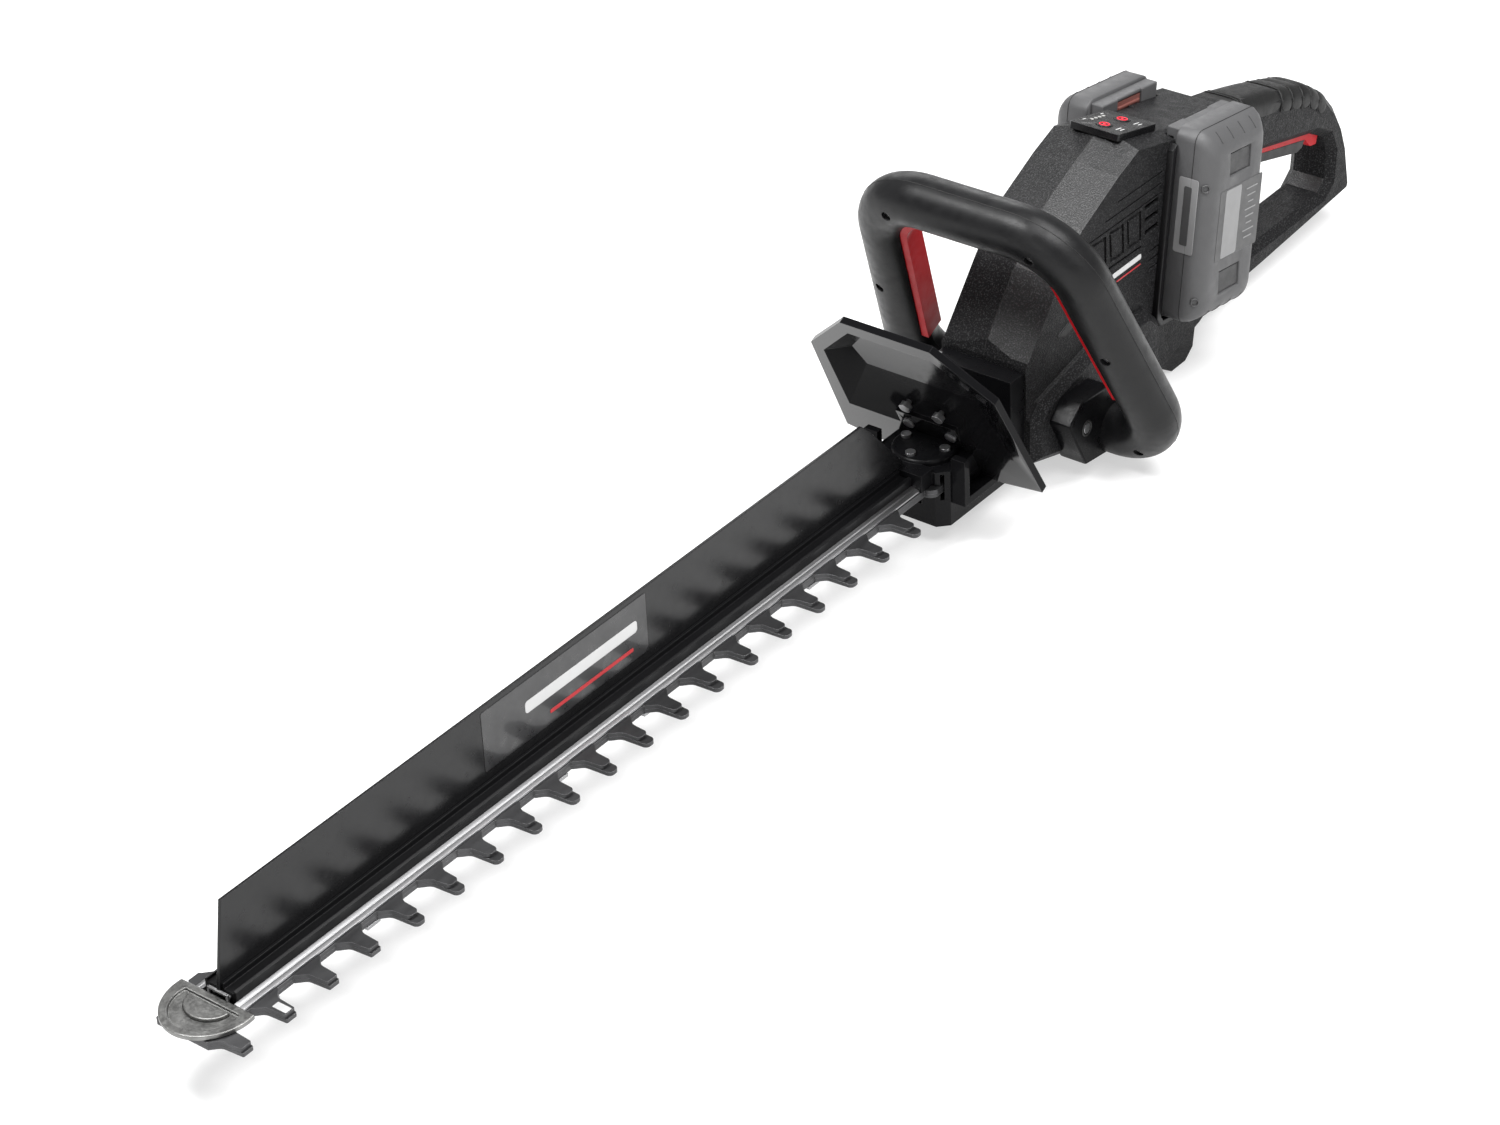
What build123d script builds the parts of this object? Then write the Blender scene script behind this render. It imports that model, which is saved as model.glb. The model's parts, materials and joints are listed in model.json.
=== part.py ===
from build123d import *
import math
import os

os.makedirs("parts", exist_ok=True)

# Hedge trimmer, millimetres.  +X points to the blade tip, +Y to the left hand, +Z up.
# The parts are laid out with X = 0 on the crank's axis and Z = 0 under the feet, and the
# last lines move them all so that the origin is under the middle of the whole tool.

# ---- blades -------------------------------------------------------------------------
BLADE_Z = 36.0            # plane where the two blades slide on each other
BLADE_T = 2.2
BLADE_GAP = 0.05          # half the running gap between the blades
PITCH = 29.0
TOOTH_COUNT = 19
TOOTH_FIRST_X = 579.0     # the tooth nearest the tip
BLUNT_TEETH = 4           # short square teeth at the tip
BLADE_HALF = 16.0
TOOTH_TIP = 36.6
TOOTH_TIP_BLUNT = 33.5
TOOTH_TIP_UPPER = 32.0
TOOTH_TIP_RIGHT = 26.0    # the teeth on the right side are shorter
RIGHT_SHIFT = 2.4         # and stand this much further back
RIGHT_END_X = 557.0       # the last of them, half under the tip guard
RIGHT_END_TIP = 22.4
TOOTH_W = 6.8
BLADE_FRONT = 588.0
STROKE = 7.0              # each blade moves this far either way
BOLT_COUNT = 8
BOLT_R = 2.5
BOLT_FIRST_X = 545.0
BOLT_STEP = 70.0

# ---- crank and gears ----------------------------------------------------------------
ECC_R = 10.0
SLOT_PLAY = 1.8           # room in the yoke for the crank's true sine motion
JOURNAL_R = 5.0
RUN_FIT = 0.05            # radial running clearance of every shaft
CROWN_TEETH = 40
PINION_TEETH = 10
CROWN_MEAN_R = 17.5
CROWN_Z = 39.6
MODULE = 2 * CROWN_MEAN_R / CROWN_TEETH
PINION_PITCH_R = MODULE * PINION_TEETH / 2
MESH_Z = 44.0             # height of the pitch plane
MOTOR_Z = MESH_Z + PINION_PITCH_R

# ---- gear case ----------------------------------------------------------------------
CASE_HALF = 25.0
CASE_FRONT = 17.0
CASE_BOTTOM = 12.0
CASE_TOP = 47.0
DRUM_R = 18.5
DRUM_TOP = 51.0
WALL = 2.4

# ---- blade guard and loop handle, both lean forward -----------------------------------
GUARD_LEAN = 27.0
GUARD_FOOT_X = -16.0
LOOP_LEAN = 24.5
LOOP_FOOT_X = -125.0
TUBE_R = 15.5
LOOP_TOP = 189.0
LOOP_FOOT = 22.5
LOOP_TOP_HALF = 61.0
LOOP_FOOT_HALF = 87.5

# ---- motor housing ----------------------------------------------------------------
BODY_HALF = 28.5
BELLY_HALF = 36.0
NOSE_X = -58.0
REAR_X = -286.0
HANDLE_HALF = 16.0
PACK_TILT = 8.0
PACK_LENGTH = 118.0
PACK_WIDTH = 66.0
PACK_INNER_Y = 29.0
PACK_OUTER_Y = 55.0
PACK_X = -233.0           # centre of a battery pack
PACK_Z = 101.5

# ---- motor --------------------------------------------------------------------------
MOTOR_R = 24.0
MOTOR_X = -108.0
MOTOR_LENGTH = 48.0
SHAFT_R = 2.5

NODES = {}


def prism_y(points, y0, y1, round_r=0.0):
    """Solid with an outline in X and Z, from y0 to y1."""
    face = make_face(Polyline(*points, close=True))
    if round_r:
        face = fillet(face.vertices(), round_r)
    return Pos(0, y1, 0) * extrude(Plane.XZ * face, amount=y1 - y0)


def prism_z(points, z0, z1, round_r=0.0):
    """Solid with an outline in X and Y, from z0 to z1."""
    face = make_face(Polyline(*points, close=True))
    if round_r:
        face = fillet(face.vertices(), round_r)
    return Pos(0, 0, z0) * extrude(face, amount=z1 - z0)


def block(x0, x1, y0, y1, z0, z1):
    """Box between two corners."""
    centre = Pos((x0 + x1) / 2, (y0 + y1) / 2, (z0 + z1) / 2)
    return centre * Box(x1 - x0, y1 - y0, z1 - z0)


def post(x, y, z0, z1, r):
    """Upright cylinder."""
    return Pos(x, y, (z0 + z1) / 2) * Cylinder(r, z1 - z0)


def rod_x(x0, x1, z, r, y=0.0):
    """Cylinder along X."""
    return Pos((x0 + x1) / 2, y, z) * Rot(0, 90, 0) * Cylinder(r, x1 - x0)


def rod_y(x, z, y0, y1, r):
    """Cylinder along Y."""
    return Pos(x, (y0 + y1) / 2, z) * Rot(90, 0, 0) * Cylinder(r, y1 - y0)


def both_sides(shape):
    """The shape and its mirror image across the centre plane."""
    return shape + mirror(shape, Plane.XZ)


def group(shapes):
    """Separate solids kept in one node."""
    return Compound([solid for shape in shapes for solid in shape.solids()])


def save(name, shape):
    """Keep a finished part; the files are written at the end."""
    NODES[name] = shape


# =====================================================================================
# blades
# =====================================================================================
def tooth_x(n):
    return TOOTH_FIRST_X - PITCH * n


def tooth(x, tip, end_r):
    """One tooth on the left side: wide curved root, narrow end."""
    half = TOOTH_W / 2
    root = BLADE_HALF - 1.0
    line = Polyline((x - 9.0, root), (x - 9.0, root + 1.4), (x - half - 0.9, root + 6.0),
                    (x - half, tip), (x + half, tip), (x + half + 0.9, root + 6.0),
                    (x + 9.0, root + 1.4), (x + 9.0, root), close=True)
    face = make_face(line)
    waist = face.vertices().filter_by(lambda v: root + 5.0 < v.Y < tip - 0.1)
    face = fillet(waist, 5.0)
    ends = face.vertices().filter_by(lambda v: v.Y > tip - 0.1)
    return fillet(ends, end_r)


def blade(z0, z1, tip_inner, tip_blunt):
    """Double-sided toothed plate with bolt slots and the yoke the crank turns in."""
    yoke_half = ECC_R + STROKE + 0.8
    plate = Pos((BLADE_FRONT + 20) / 2, 0) * Rectangle(BLADE_FRONT - 20, 2 * BLADE_HALF)
    plate += Pos(2.0, 0) * RectangleRounded(38.0 + 2 * SLOT_PLAY, 2 * yoke_half + 7.6, 5.0)
    plate += Pos(18.0, 0) * Rectangle(16.0, 2 * BLADE_HALF)
    for n in range(BLUNT_TEETH):
        plate += tooth(tooth_x(n), tip_blunt, 0.8)
    for n in range(BLUNT_TEETH, TOOTH_COUNT):
        plate += tooth(tooth_x(n), tip_inner, TOOTH_W * 0.42)
    for n in range(2, TOOTH_COUNT):
        plate += mirror(tooth(tooth_x(n) - RIGHT_SHIFT, TOOTH_TIP_RIGHT, 1.4), Plane.XZ)
    plate += mirror(tooth(RIGHT_END_X, RIGHT_END_TIP, 0.4), Plane.XZ)
    for k in range(BOLT_COUNT):
        plate -= Pos(BOLT_FIRST_X - BOLT_STEP * k, 0) * SlotOverall(
            2 * (STROKE + BOLT_R + 0.6), 2 * (BOLT_R + 0.3))
    plate -= RectangleRounded(2 * (ECC_R + SLOT_PLAY), 2 * yoke_half, ECC_R * 0.9)
    return Pos(0, 0, z0) * extrude(plate, amount=z1 - z0)


upper_z = (BLADE_Z + BLADE_GAP, BLADE_Z + BLADE_GAP + BLADE_T)
lower_z = (BLADE_Z - BLADE_GAP - BLADE_T, BLADE_Z - BLADE_GAP)
save("upper_blade", blade(*upper_z, TOOTH_TIP_UPPER, TOOTH_TIP_BLUNT - 1.0))
save("lower_blade", blade(*lower_z, TOOTH_TIP, TOOTH_TIP_BLUNT))

# =====================================================================================
# rail, its cover, the fin, the side strips, bolts and the tip guard
# =====================================================================================
RAIL_FRONT = 561.0
RAIL_REAR = 20.8
RAIL_BASE = upper_z[1] + 0.1
RAIL_TOP = 42.8
COVER_TOP = 46.4
COVER_HALF = 10.0
FIN_T = 1.8
FIN_TOP = 91.5

rail_profile = Polyline((-6.5, RAIL_TOP - 1.2), (-6.5, RAIL_TOP), (6.5, RAIL_TOP), (6.5, RAIL_TOP - 1.2),
                        (4.6, RAIL_TOP - 1.2), (4.6, RAIL_BASE), (3.4, RAIL_BASE), (3.4, RAIL_TOP - 1.2),
                        (-3.4, RAIL_TOP - 1.2), (-3.4, RAIL_BASE), (-4.6, RAIL_BASE),
                        (-4.6, RAIL_TOP - 1.2), close=True)
rail = Pos(RAIL_REAR, 0, 0) * extrude(Plane.YZ * make_face(rail_profile), amount=RAIL_FRONT + 1 - RAIL_REAR)

half_fin = FIN_T / 2
cover_half = Polyline((half_fin, RAIL_TOP), (half_fin, COVER_TOP + 1.6), (2.4, COVER_TOP + 1.6),
                      (2.4, COVER_TOP - 1.6), (8.4, COVER_TOP - 1.6), (8.4, COVER_TOP),
                      (COVER_HALF, COVER_TOP - 0.6), (COVER_HALF, RAIL_BASE), (6.5, RAIL_BASE),
                      (6.5, RAIL_TOP), close=True)
cover_side = extrude(Plane.YZ * make_face(cover_half), amount=RAIL_FRONT - RAIL_REAR)
floor_strip = block(0, RAIL_FRONT - RAIL_REAR, -half_fin, half_fin, RAIL_TOP, RAIL_TOP + 0.8)
cover = Pos(RAIL_REAR, 0, 0) * (both_sides(cover_side) + floor_strip)

fin = prism_y([(563.0, RAIL_TOP + 0.8), (554.0, FIN_TOP), (58.0, FIN_TOP), (50.0, 84.0), (33.0, 64.0),
               (22.0, 52.0), (22.0, RAIL_TOP + 0.8)], -half_fin, half_fin)

strip_profile = Polyline((COVER_HALF, RAIL_BASE), (COVER_HALF, 41.0), (12.2, 40.6), (12.7, 40.1),
                         (13.2, 40.2), (15.4, 39.6), (15.4, RAIL_BASE), close=True)
strip = Pos(RAIL_REAR + 1, 0, 0) * extrude(Plane.YZ * make_face(strip_profile),
                                           amount=RAIL_FRONT + 1 - RAIL_REAR)

bolts = []
washers = []
for k in range(BOLT_COUNT):
    x = BOLT_FIRST_X - BOLT_STEP * k
    hole = post(x, 0, 30, RAIL_TOP + 1, BOLT_R)
    rail -= hole
    washers.append(Pos(x, 0, lower_z[0] - 1.0) * Box(9.0, 33.0, 1.8) - post(x, 0, 30, 35, BOLT_R))
    head = Pos(x, 0, lower_z[0] - 1.9) * extrude(RegularPolygon(4.6, 6), amount=-2.6)
    bolts.append(post(x, 0, lower_z[0] - 1.9, RAIL_TOP, BOLT_R) + head)

save("blade_rail", rail)
save("rail_cover", cover)
save("deflector_fin", fin)
save("side_strips", group([strip, mirror(strip, Plane.XZ)]))
save("blade_bolts", group(bolts))
save("guide_washers", group(washers))


def tip_plate(radius_x, radius_y, rear_x, z0, z1):
    """Half-oval plate with a straight rear edge."""
    oval = Pos(rear_x + 4.0, 0) * Ellipse(radius_x, radius_y)
    oval &= Pos(rear_x + 25, 0) * Rectangle(50, 2 * radius_y)
    return Pos(0, 0, z0) * extrude(oval, amount=z1 - z0)


TIP_Z = RAIL_BASE + 0.1
tip = tip_plate(26.5, 23.6, 563.2, TIP_Z, TIP_Z + 2.6)
tip -= tip_plate(18.0, 17.5, 567.4, TIP_Z + 1.3, TIP_Z + 3)
tip_tongue = block(552, 566, -3.2, 3.2, TIP_Z, TIP_Z + 1.2)
save("tip_guard", tip + tip_tongue)

# =====================================================================================
# crank with its two eccentrics, crown gear and bearings
# =====================================================================================
LOWER_BEARING = (18.0, 24.0)
UPPER_BEARING = (45.0, 49.0)
BEARING_R = 9.0

crank = post(0, 0, 16.5, lower_z[0] - 0.2, JOURNAL_R)
crank += Pos(0, -STROKE, 0) * post(0, 0, lower_z[0] - 0.2, BLADE_Z, ECC_R)
crank += Pos(0, STROKE, 0) * post(0, 0, BLADE_Z, upper_z[1] + 0.1, ECC_R)
crank += post(0, 0, lower_z[0] - 0.2, upper_z[1] + 0.1, 2.9)
crank += post(0, 0, upper_z[1] + 0.1, CROWN_Z + 3.4, 6.0)
crank += post(0, 0, CROWN_Z + 3.4, 48.4, JOURNAL_R)
save("crank_shaft", crank)


def crown_gear():
    """Disc with teeth standing up on its rim."""
    disc = post(0, 0, CROWN_Z, MESH_Z - 0.7, 20.0) - post(0, 0, CROWN_Z - 1, MESH_Z, 6.0)
    disc -= post(0, 0, MESH_Z - 1.8, MESH_Z, 14.0) - post(0, 0, MESH_Z - 1.8, MESH_Z, 9.2)
    step = 360.0 / CROWN_TEETH
    half = math.radians(step) * 0.17
    inner_r = 15.0
    outer_r = 19.9
    outline = [(inner_r * math.cos(a), inner_r * math.sin(a)) for a in (-half, half)]
    outline += [(outer_r * math.cos(a), outer_r * math.sin(a)) for a in (half, -half)]
    one = prism_z(outline, MESH_Z - 0.8, MESH_Z + 0.55)
    for n in range(CROWN_TEETH):
        disc += Rot(0, 0, step * (n + 0.5)) * one
    return disc


save("crown_gear", crown_gear())


def ring_bearing(z0, z1):
    """Two races and a shield, all one ring."""
    ring = post(0, 0, z0, z1, BEARING_R) - post(0, 0, z0 - 1, z1 + 1, JOURNAL_R + RUN_FIT)
    groove = post(0, 0, z1 - 0.5, z1 + 1, 7.8) - post(0, 0, z1 - 0.5, z1 + 1, 6.2)
    return ring - groove


save("crank_bearings", group([ring_bearing(*LOWER_BEARING), ring_bearing(*UPPER_BEARING)]))

# =====================================================================================
# gear case: upper and lower castings
# =====================================================================================
CASE_REAR = -45.0
FLANGE_TOP = 76.0
FLANGE_BOTTOM = 16.0
CLAMP_FRONT = 27.0          # the case grips the end of the rail as far as here
TUNNEL_FRONT = -12.4        # front of the tunnel over the pinion

front_plan = [(CASE_REAR, -CASE_HALF), (CASE_FRONT - 6, -CASE_HALF), (CASE_FRONT, -CASE_HALF + 6),
              (CASE_FRONT, CASE_HALF - 6), (CASE_FRONT - 6, CASE_HALF), (CASE_REAR, CASE_HALF)]
case = prism_z(front_plan, CASE_BOTTOM, CASE_TOP)
case += fillet(post(0, 0, CASE_TOP - 5, DRUM_TOP, DRUM_R).edges().sort_by(Axis.Z)[-1], 2.0)
case += block(CASE_REAR, TUNNEL_FRONT, -13, 13, CASE_TOP - 1, 60.0)
case += block(NOSE_X, CASE_REAR, -27, 27, FLANGE_BOTTOM, FLANGE_TOP)

cavity = block(-26, CASE_FRONT - 2, -22.6, 22.6, 29.0, CASE_TOP - 1.5)
cavity += block(-43, TUNNEL_FRONT - 2.4, -8, 8, 38.0, 57.5)
cavity += post(0, 0, 24.0, 40, 19.5)
case -= cavity
case -= post(0, 0, CASE_TOP - 2, 46.0, DRUM_R - WALL)
case -= post(0, 0, UPPER_BEARING[0] - 1, UPPER_BEARING[1], BEARING_R)
case -= post(0, 0, LOWER_BEARING[0], 30, BEARING_R)
case -= post(0, 0, LOWER_BEARING[0] - 3.5, LOWER_BEARING[0] + 1, JOURNAL_R + 1)
case += block(CASE_FRONT - 1, CLAMP_FRONT, -17, 17, upper_z[1] + 0.4, CASE_TOP + 2)
case -= post(0, 0, 38, MESH_Z + 1, 20.4)
case -= block(CASE_FRONT - 4, CASE_FRONT + 4, -22.4, 22.4, lower_z[0] - 0.4, upper_z[1] + 0.4)
case -= rail + cover + fin + both_sides(strip)
case -= rod_x(-70, -40, MOTOR_Z, SHAFT_R + 1.5)
case -= rod_x(NOSE_X - 1, NOSE_X + 7, MOTOR_Z, 8.0)
flange_window = block(NOSE_X - 1, CASE_REAR - 4, 14, 24, 22, 70)
case -= both_sides(flange_window)
case_upper = case & block(-100, 40, -40, 40, BLADE_Z, 100)
case_lower = case & block(-100, 40, -40, 40, 0, BLADE_Z)

# =====================================================================================
# hand guard: leaning six-sided plate with a pocket, standing on two side arms
# =====================================================================================
lean = math.radians(GUARD_LEAN)
guard_plane = Plane(origin=(GUARD_FOOT_X, 0, BLADE_Z), x_dir=(0, 1, 0),
                    z_dir=(math.cos(lean), 0, -math.sin(lean)))
POCKET_DEPTH = 9.0
GUARD_T = 2.6
EDGE_DEPTH = 4.4


def mirrored(points):
    """Close a left-hand outline with its mirror image."""
    return points + [(-y, s) for y, s in reversed(points)]


def guard_face(points):
    return make_face(Polyline(*mirrored(points), close=True))


rim = [(27.0, -9.0), (40.0, -8.5), (66.4, -3.5), (61.3, 78.5), (29.5, 111.5)]
mouth = [(55.5, 22.0), (54.0, 74.5), (27.5, 102.5)]
floor = [(36.0, 58.0), (41.0, 72.5), (24.0, 93.5)]
back_mouth = [(y + 2.2, s + (2.2 if s > 50 else -2.2)) for y, s in mouth]
back_floor = [(y + 2.2, s + (2.2 if s > 70 else -2.2)) for y, s in floor]

plate = guard_plane * extrude(guard_face(rim), amount=-GUARD_T)
pan = loft([guard_plane.offset(-GUARD_T + 0.6) * guard_face(back_mouth),
            guard_plane.offset(-POCKET_DEPTH - 2.2) * guard_face(back_floor)], ruled=True)
pocket = loft([guard_plane.offset(0.01) * guard_face(mouth),
               guard_plane.offset(-POCKET_DEPTH) * guard_face(floor)], ruled=True)
guard = plate + pan - pocket
inner_rim = [(27.0, -9.0), (39.0, -6.0), (63.6, -1.5), (58.9, 77.3), (28.4, 108.8)]
edge_band = guard_plane * (extrude(guard_face(rim), amount=-EDGE_DEPTH)
                           - extrude(guard_face(inner_rim), amount=-EDGE_DEPTH))
edge_band -= guard_plane * extrude(Pos(0, -20) * Rectangle(54.0, 40.0), amount=-12.0)
guard += edge_band
arm = block(-22, 10, CASE_HALF, 34, 26.5, 31.0) + block(5.5, 10, CASE_HALF, 34, 26.5, 55)
guard += both_sides(arm)
case_clear = block(-60, 30, -CASE_HALF, CASE_HALF, 0, CASE_TOP) + post(0, 0, 40, DRUM_TOP + 0.1, DRUM_R)
case_clear += block(CASE_REAR, TUNNEL_FRONT, -13, 13, 40, 60)
guard -= case_clear
guard_lug = guard_plane * extrude(Pos(0, 26.0) * Rectangle(40.0, 14.0), amount=-5.0)
guard += guard_lug - case_clear

GUARD_SCREW = [(14.0, 23.5), (-14.0, 23.5), (11.0, 40.0), (-11.0, 40.0)]
guard_screws = []
for y, s in GUARD_SCREW:
    seat = guard_plane * Pos(y, s, 0)
    head = Pos(0, 0, -0.6) * Cylinder(3.4, 3.2)
    guard_screws.append(seat * (head + Pos(0, 0, -5.0) * Cylinder(1.6, 6.0)))
for screw in guard_screws:
    guard -= screw
save("hand_guard", guard)
save("guard_screws", group(guard_screws))

case_upper -= guard
case_lower -= guard
cap_screws = []
for angle in (0, 95, -95):
    spot = Rot(0, 0, angle) * Pos(13.2, 0, 0)
    cap_screws.append(spot * (post(0, 0, DRUM_TOP - 0.8, DRUM_TOP + 1.8, 2.9)))
for screw in cap_screws + guard_screws:
    case_upper -= screw
save("gear_case_upper", case_upper)
save("gear_case_lower", case_lower)
save("gear_case_screws", group(cap_screws))

# =====================================================================================
# motor, its shaft, bearings, fan and pinion
# =====================================================================================
MOTOR_REAR = MOTOR_X - MOTOR_LENGTH / 2
MOTOR_FRONT = MOTOR_X + MOTOR_LENGTH / 2

can = rod_x(MOTOR_REAR, MOTOR_FRONT, MOTOR_Z, MOTOR_R)
can -= rod_x(MOTOR_REAR + 3, MOTOR_FRONT + 1, MOTOR_Z, MOTOR_R - 1.6)
can -= rod_x(MOTOR_REAR - 1, MOTOR_REAR + 4, MOTOR_Z, 5.0)
for n in range(6):
    spot = Rot(60 * n + 30, 0, 0) * Pos(0, 0, 15.0) * Rot(0, 90, 0) * Cylinder(4.0, 8.0)
    can -= Pos(MOTOR_REAR, 0, MOTOR_Z) * spot
save("motor_can", can)

stator = rod_x(MOTOR_REAR + 8, MOTOR_FRONT - 6, MOTOR_Z, MOTOR_R - 1.62)
stator -= rod_x(MOTOR_REAR, MOTOR_FRONT, MOTOR_Z, 12.6)
for n in range(9):
    slot = Rot(40 * n, 0, 0) * Pos(0, 0, 15.5) * Box(MOTOR_LENGTH, 4.4, 6.6)
    stator -= Pos(MOTOR_X, 0, MOTOR_Z) * slot
save("motor_stator", stator)

shaft = rod_x(MOTOR_REAR + 0.4, -15.4, MOTOR_Z, SHAFT_R)
save("motor_shaft", shaft)
rotor = rod_x(MOTOR_REAR + 9, MOTOR_FRONT - 7, MOTOR_Z, 12.0) - rod_x(MOTOR_REAR, 0, MOTOR_Z, SHAFT_R)
save("motor_rotor", rotor)


def cooling_fan():
    """Hub and back plate with straight radial vanes."""
    x0 = MOTOR_FRONT + 2
    hub = rod_x(x0, x0 + 8, 0, 7.0) + rod_x(x0, x0 + 1.6, 0, 21.0)
    for n in range(11):
        vane = Rot(360 / 11 * n, 0, 0) * Pos(x0 + 4.0, 0, 13.6) * Box(8.0, 1.4, 14.4)
        hub += vane
    return Pos(0, 0, MOTOR_Z) * (hub - rod_x(x0 - 1, x0 + 9, 0, SHAFT_R))


save("cooling_fan", cooling_fan())


def pinion_gear():
    """Small spur gear whose lowest tooth stands in a space of the crown."""
    x0, x1 = -19.2, -15.6
    tip_r = PINION_PITCH_R + 0.55
    root_r = PINION_PITCH_R - 0.75
    gear = rod_x(x0, x1, 0, root_r)
    step = 360.0 / PINION_TEETH
    for n in range(PINION_TEETH):
        profile = Plane.YZ * make_face(Polyline((-0.55, root_r - 0.6), (-0.3, tip_r), (0.3, tip_r),
                                                (0.55, root_r - 0.6), close=True))
        gear += Rot(step * n, 0, 0) * Pos(x0, 0, 0) * extrude(profile, amount=x1 - x0)
    return Pos(0, 0, MOTOR_Z) * (gear - rod_x(x0 - 1, x1 + 1, 0, SHAFT_R))


save("drive_pinion", pinion_gear())


def small_bearing(x0, x1, outer_r):
    ring = rod_x(x0, x1, MOTOR_Z, outer_r) - rod_x(x0 - 1, x1 + 1, MOTOR_Z, SHAFT_R + RUN_FIT)
    return ring - (rod_x(x1 - 0.4, x1 + 1, MOTOR_Z, outer_r - 1.2) - rod_x(x1 - 0.4, x1 + 1, MOTOR_Z, 3.8))


save("motor_bearings", group([small_bearing(NOSE_X, NOSE_X + 5, 8.0),
                              small_bearing(MOTOR_REAR, MOTOR_REAR + 3, 5.0)]))

# =====================================================================================
# housing: two half shells with the rear handle, parted on the centre plane
# =====================================================================================
top_line = [(NOSE_X, 79.0), (-61.5, 88.0), (-89.6, 121.1), (-112.4, 143.6), (-149.5, 161.0),
            (-170.0, 168.5)]
SEAT_DROP = math.tan(math.radians(14.0))
seat_rear_z = 168.5 - (232.0 - 170.0) * SEAT_DROP
body_outline = top_line + [(-232.0, seat_rear_z), (REAR_X, 141.0), (REAR_X, 44.0), (-262.0, 32.0),
                           (-240.0, 22.0), (-205.0, 13.0), (-190.0, 8.0), (-125.0, 4.0), (-90.0, 9.0),
                           (NOSE_X, 18.0)]
cavity_outline = [(NOSE_X - 2.6, 76.0), (-64.0, 86.5), (-91.5, 118.6), (-113.6, 140.8), (-150.0, 158.0),
                  (-170.0, 165.6), (-226.0, seat_rear_z - 1.5), (REAR_X + 3, 136.0), (REAR_X + 3, 47.0),
                  (-262.0, 36.0), (-205.0, 17.0), (-190.0, 12.0), (-125.0, 7.0), (-90.0, 12.0),
                  (NOSE_X - 2.6, 20.6)]
ROOF_DROP = 3.4


def roof_wedges(line, flat_half, sink):
    """Wedges that slope both sides of a roof line down; sink moves them into the body."""
    wedges = []
    for (x0, z0), (x1, z1) in zip(line[:-1], line[1:]):
        run = math.hypot(x1 - x0, z1 - z0)
        along = ((x1 - x0) / run, 0, (z1 - z0) / run)
        place = Plane(origin=(x0, 0, z0), x_dir=(0, 1, 0), z_dir=along)
        up = 1.0 if place.y_dir.Z > 0 else -1.0
        low = -sink - ROOF_DROP * 1.2
        tri = make_face(Polyline((flat_half, -sink * up), (BODY_HALF + 6, low * up),
                                 (BODY_HALF + 6, 8 * up), (flat_half, 8 * up), close=True))
        one = place * Pos(0, 0, -6) * extrude(tri, amount=run + 12)
        wedges.append(one)
        wedges.append(mirror(one, Plane.XZ))
    return wedges


body = prism_y(body_outline, -BODY_HALF, BODY_HALF)
seat_line = [top_line[-1], (-232.0, seat_rear_z)]
for wedge in roof_wedges(top_line[1:], 0.0, 0.0) + roof_wedges(seat_line, 17.5, 0.0):
    body -= wedge
belly = [(NOSE_X, 18.0), (NOSE_X, 46.0), (-66.0, 54.0), (-120.0, 66.0), (-176.0, 62.0), (-188.0, 50.0),
         (-188.0, 24.0), (-170.0, 7.0), (-125.0, 4.0), (-90.0, 9.0)]
belly_solid = prism_y(belly, -BELLY_HALF, BELLY_HALF)
belly_solid = chamfer(belly_solid.edges().filter_by(GeomType.LINE).filter_by(
    lambda e: abs(abs(e.center().Y) - BELLY_HALF) < 0.01), 5.0)
foot = [(-192.0, 34.0), (-240.0, 24.0), (-237.0, 6.0), (-229.0, 0.0), (-214.0, 0.0), (-202.0, 7.5),
        (-192.0, 11.0)]
foot_solid = prism_y(foot, -26.0, 26.0)

GRIP_TOP = [(-250.0, 147.5), (-300.0, 136.5), (-349.0, 123.0), (-386.0, 111.0), (-405.5, 97.5),
            (-419.0, 82.5), (-427.0, 69.0), (-433.0, 53.0), (-438.5, 25.0), (-436.0, 18.0)]
handle_outline = GRIP_TOP + [(-330.0, 11.0), (-246.0, 7.0), (-238.0, 40.0)]
GRIP_OPENING = [(-291.0, 101.0), (-336.0, 90.0), (-392.0, 76.0), (-408.0, 67.0), (-414.0, 54.0),
                (-412.0, 36.0), (-404.0, 30.0), (-330.0, 29.5), (-291.0, 31.0)]


def handle_solid(outline, opening, half, round_r):
    """D-shaped handle ring with rounded edges."""
    ring = prism_y(outline, -half, half) - prism_y(opening, -half - 1, half + 1)
    rims = ring.edges().filter_by(lambda e: abs(abs(e.center().Y) - half) < 0.01)
    rims = rims.filter_by(lambda e: e.center().X < REAR_X - 1)
    return chamfer(rims, round_r)


handle = handle_solid(handle_outline, GRIP_OPENING, HANDLE_HALF, 5.0)
outer = body + belly_solid + foot_solid + handle
belly_cut = [(NOSE_X - 2.6, 20.6), (NOSE_X - 2.6, 45.0), (-66.6, 51.4), (-120.0, 63.2), (-175.0, 59.4),
             (-185.4, 49.0), (-185.4, 26.0), (-169.0, 10.0), (-125.0, 7.0), (-90.0, 12.0)]
inner = prism_y(cavity_outline, -BODY_HALF + WALL, BODY_HALF - WALL)
for wedge in roof_wedges(top_line[1:], 0.0, WALL) + roof_wedges(seat_line, 15.0, WALL):
    inner -= wedge
inner += prism_y(belly_cut, -BELLY_HALF + 5.2, BELLY_HALF - 5.2)
grip_core = [(-291.0, 133.0), (-349.0, 117.5), (-385.0, 105.5), (-400.0, 94.0), (-412.0, 80.0),
             (-404.0, 76.0), (-392.0, 82.0), (-336.0, 96.0), (-291.0, 107.0)]
inner += prism_y(grip_core, -HANDLE_HALF + 5.2, HANDLE_HALF - 5.2)
shell = outer - inner

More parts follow.
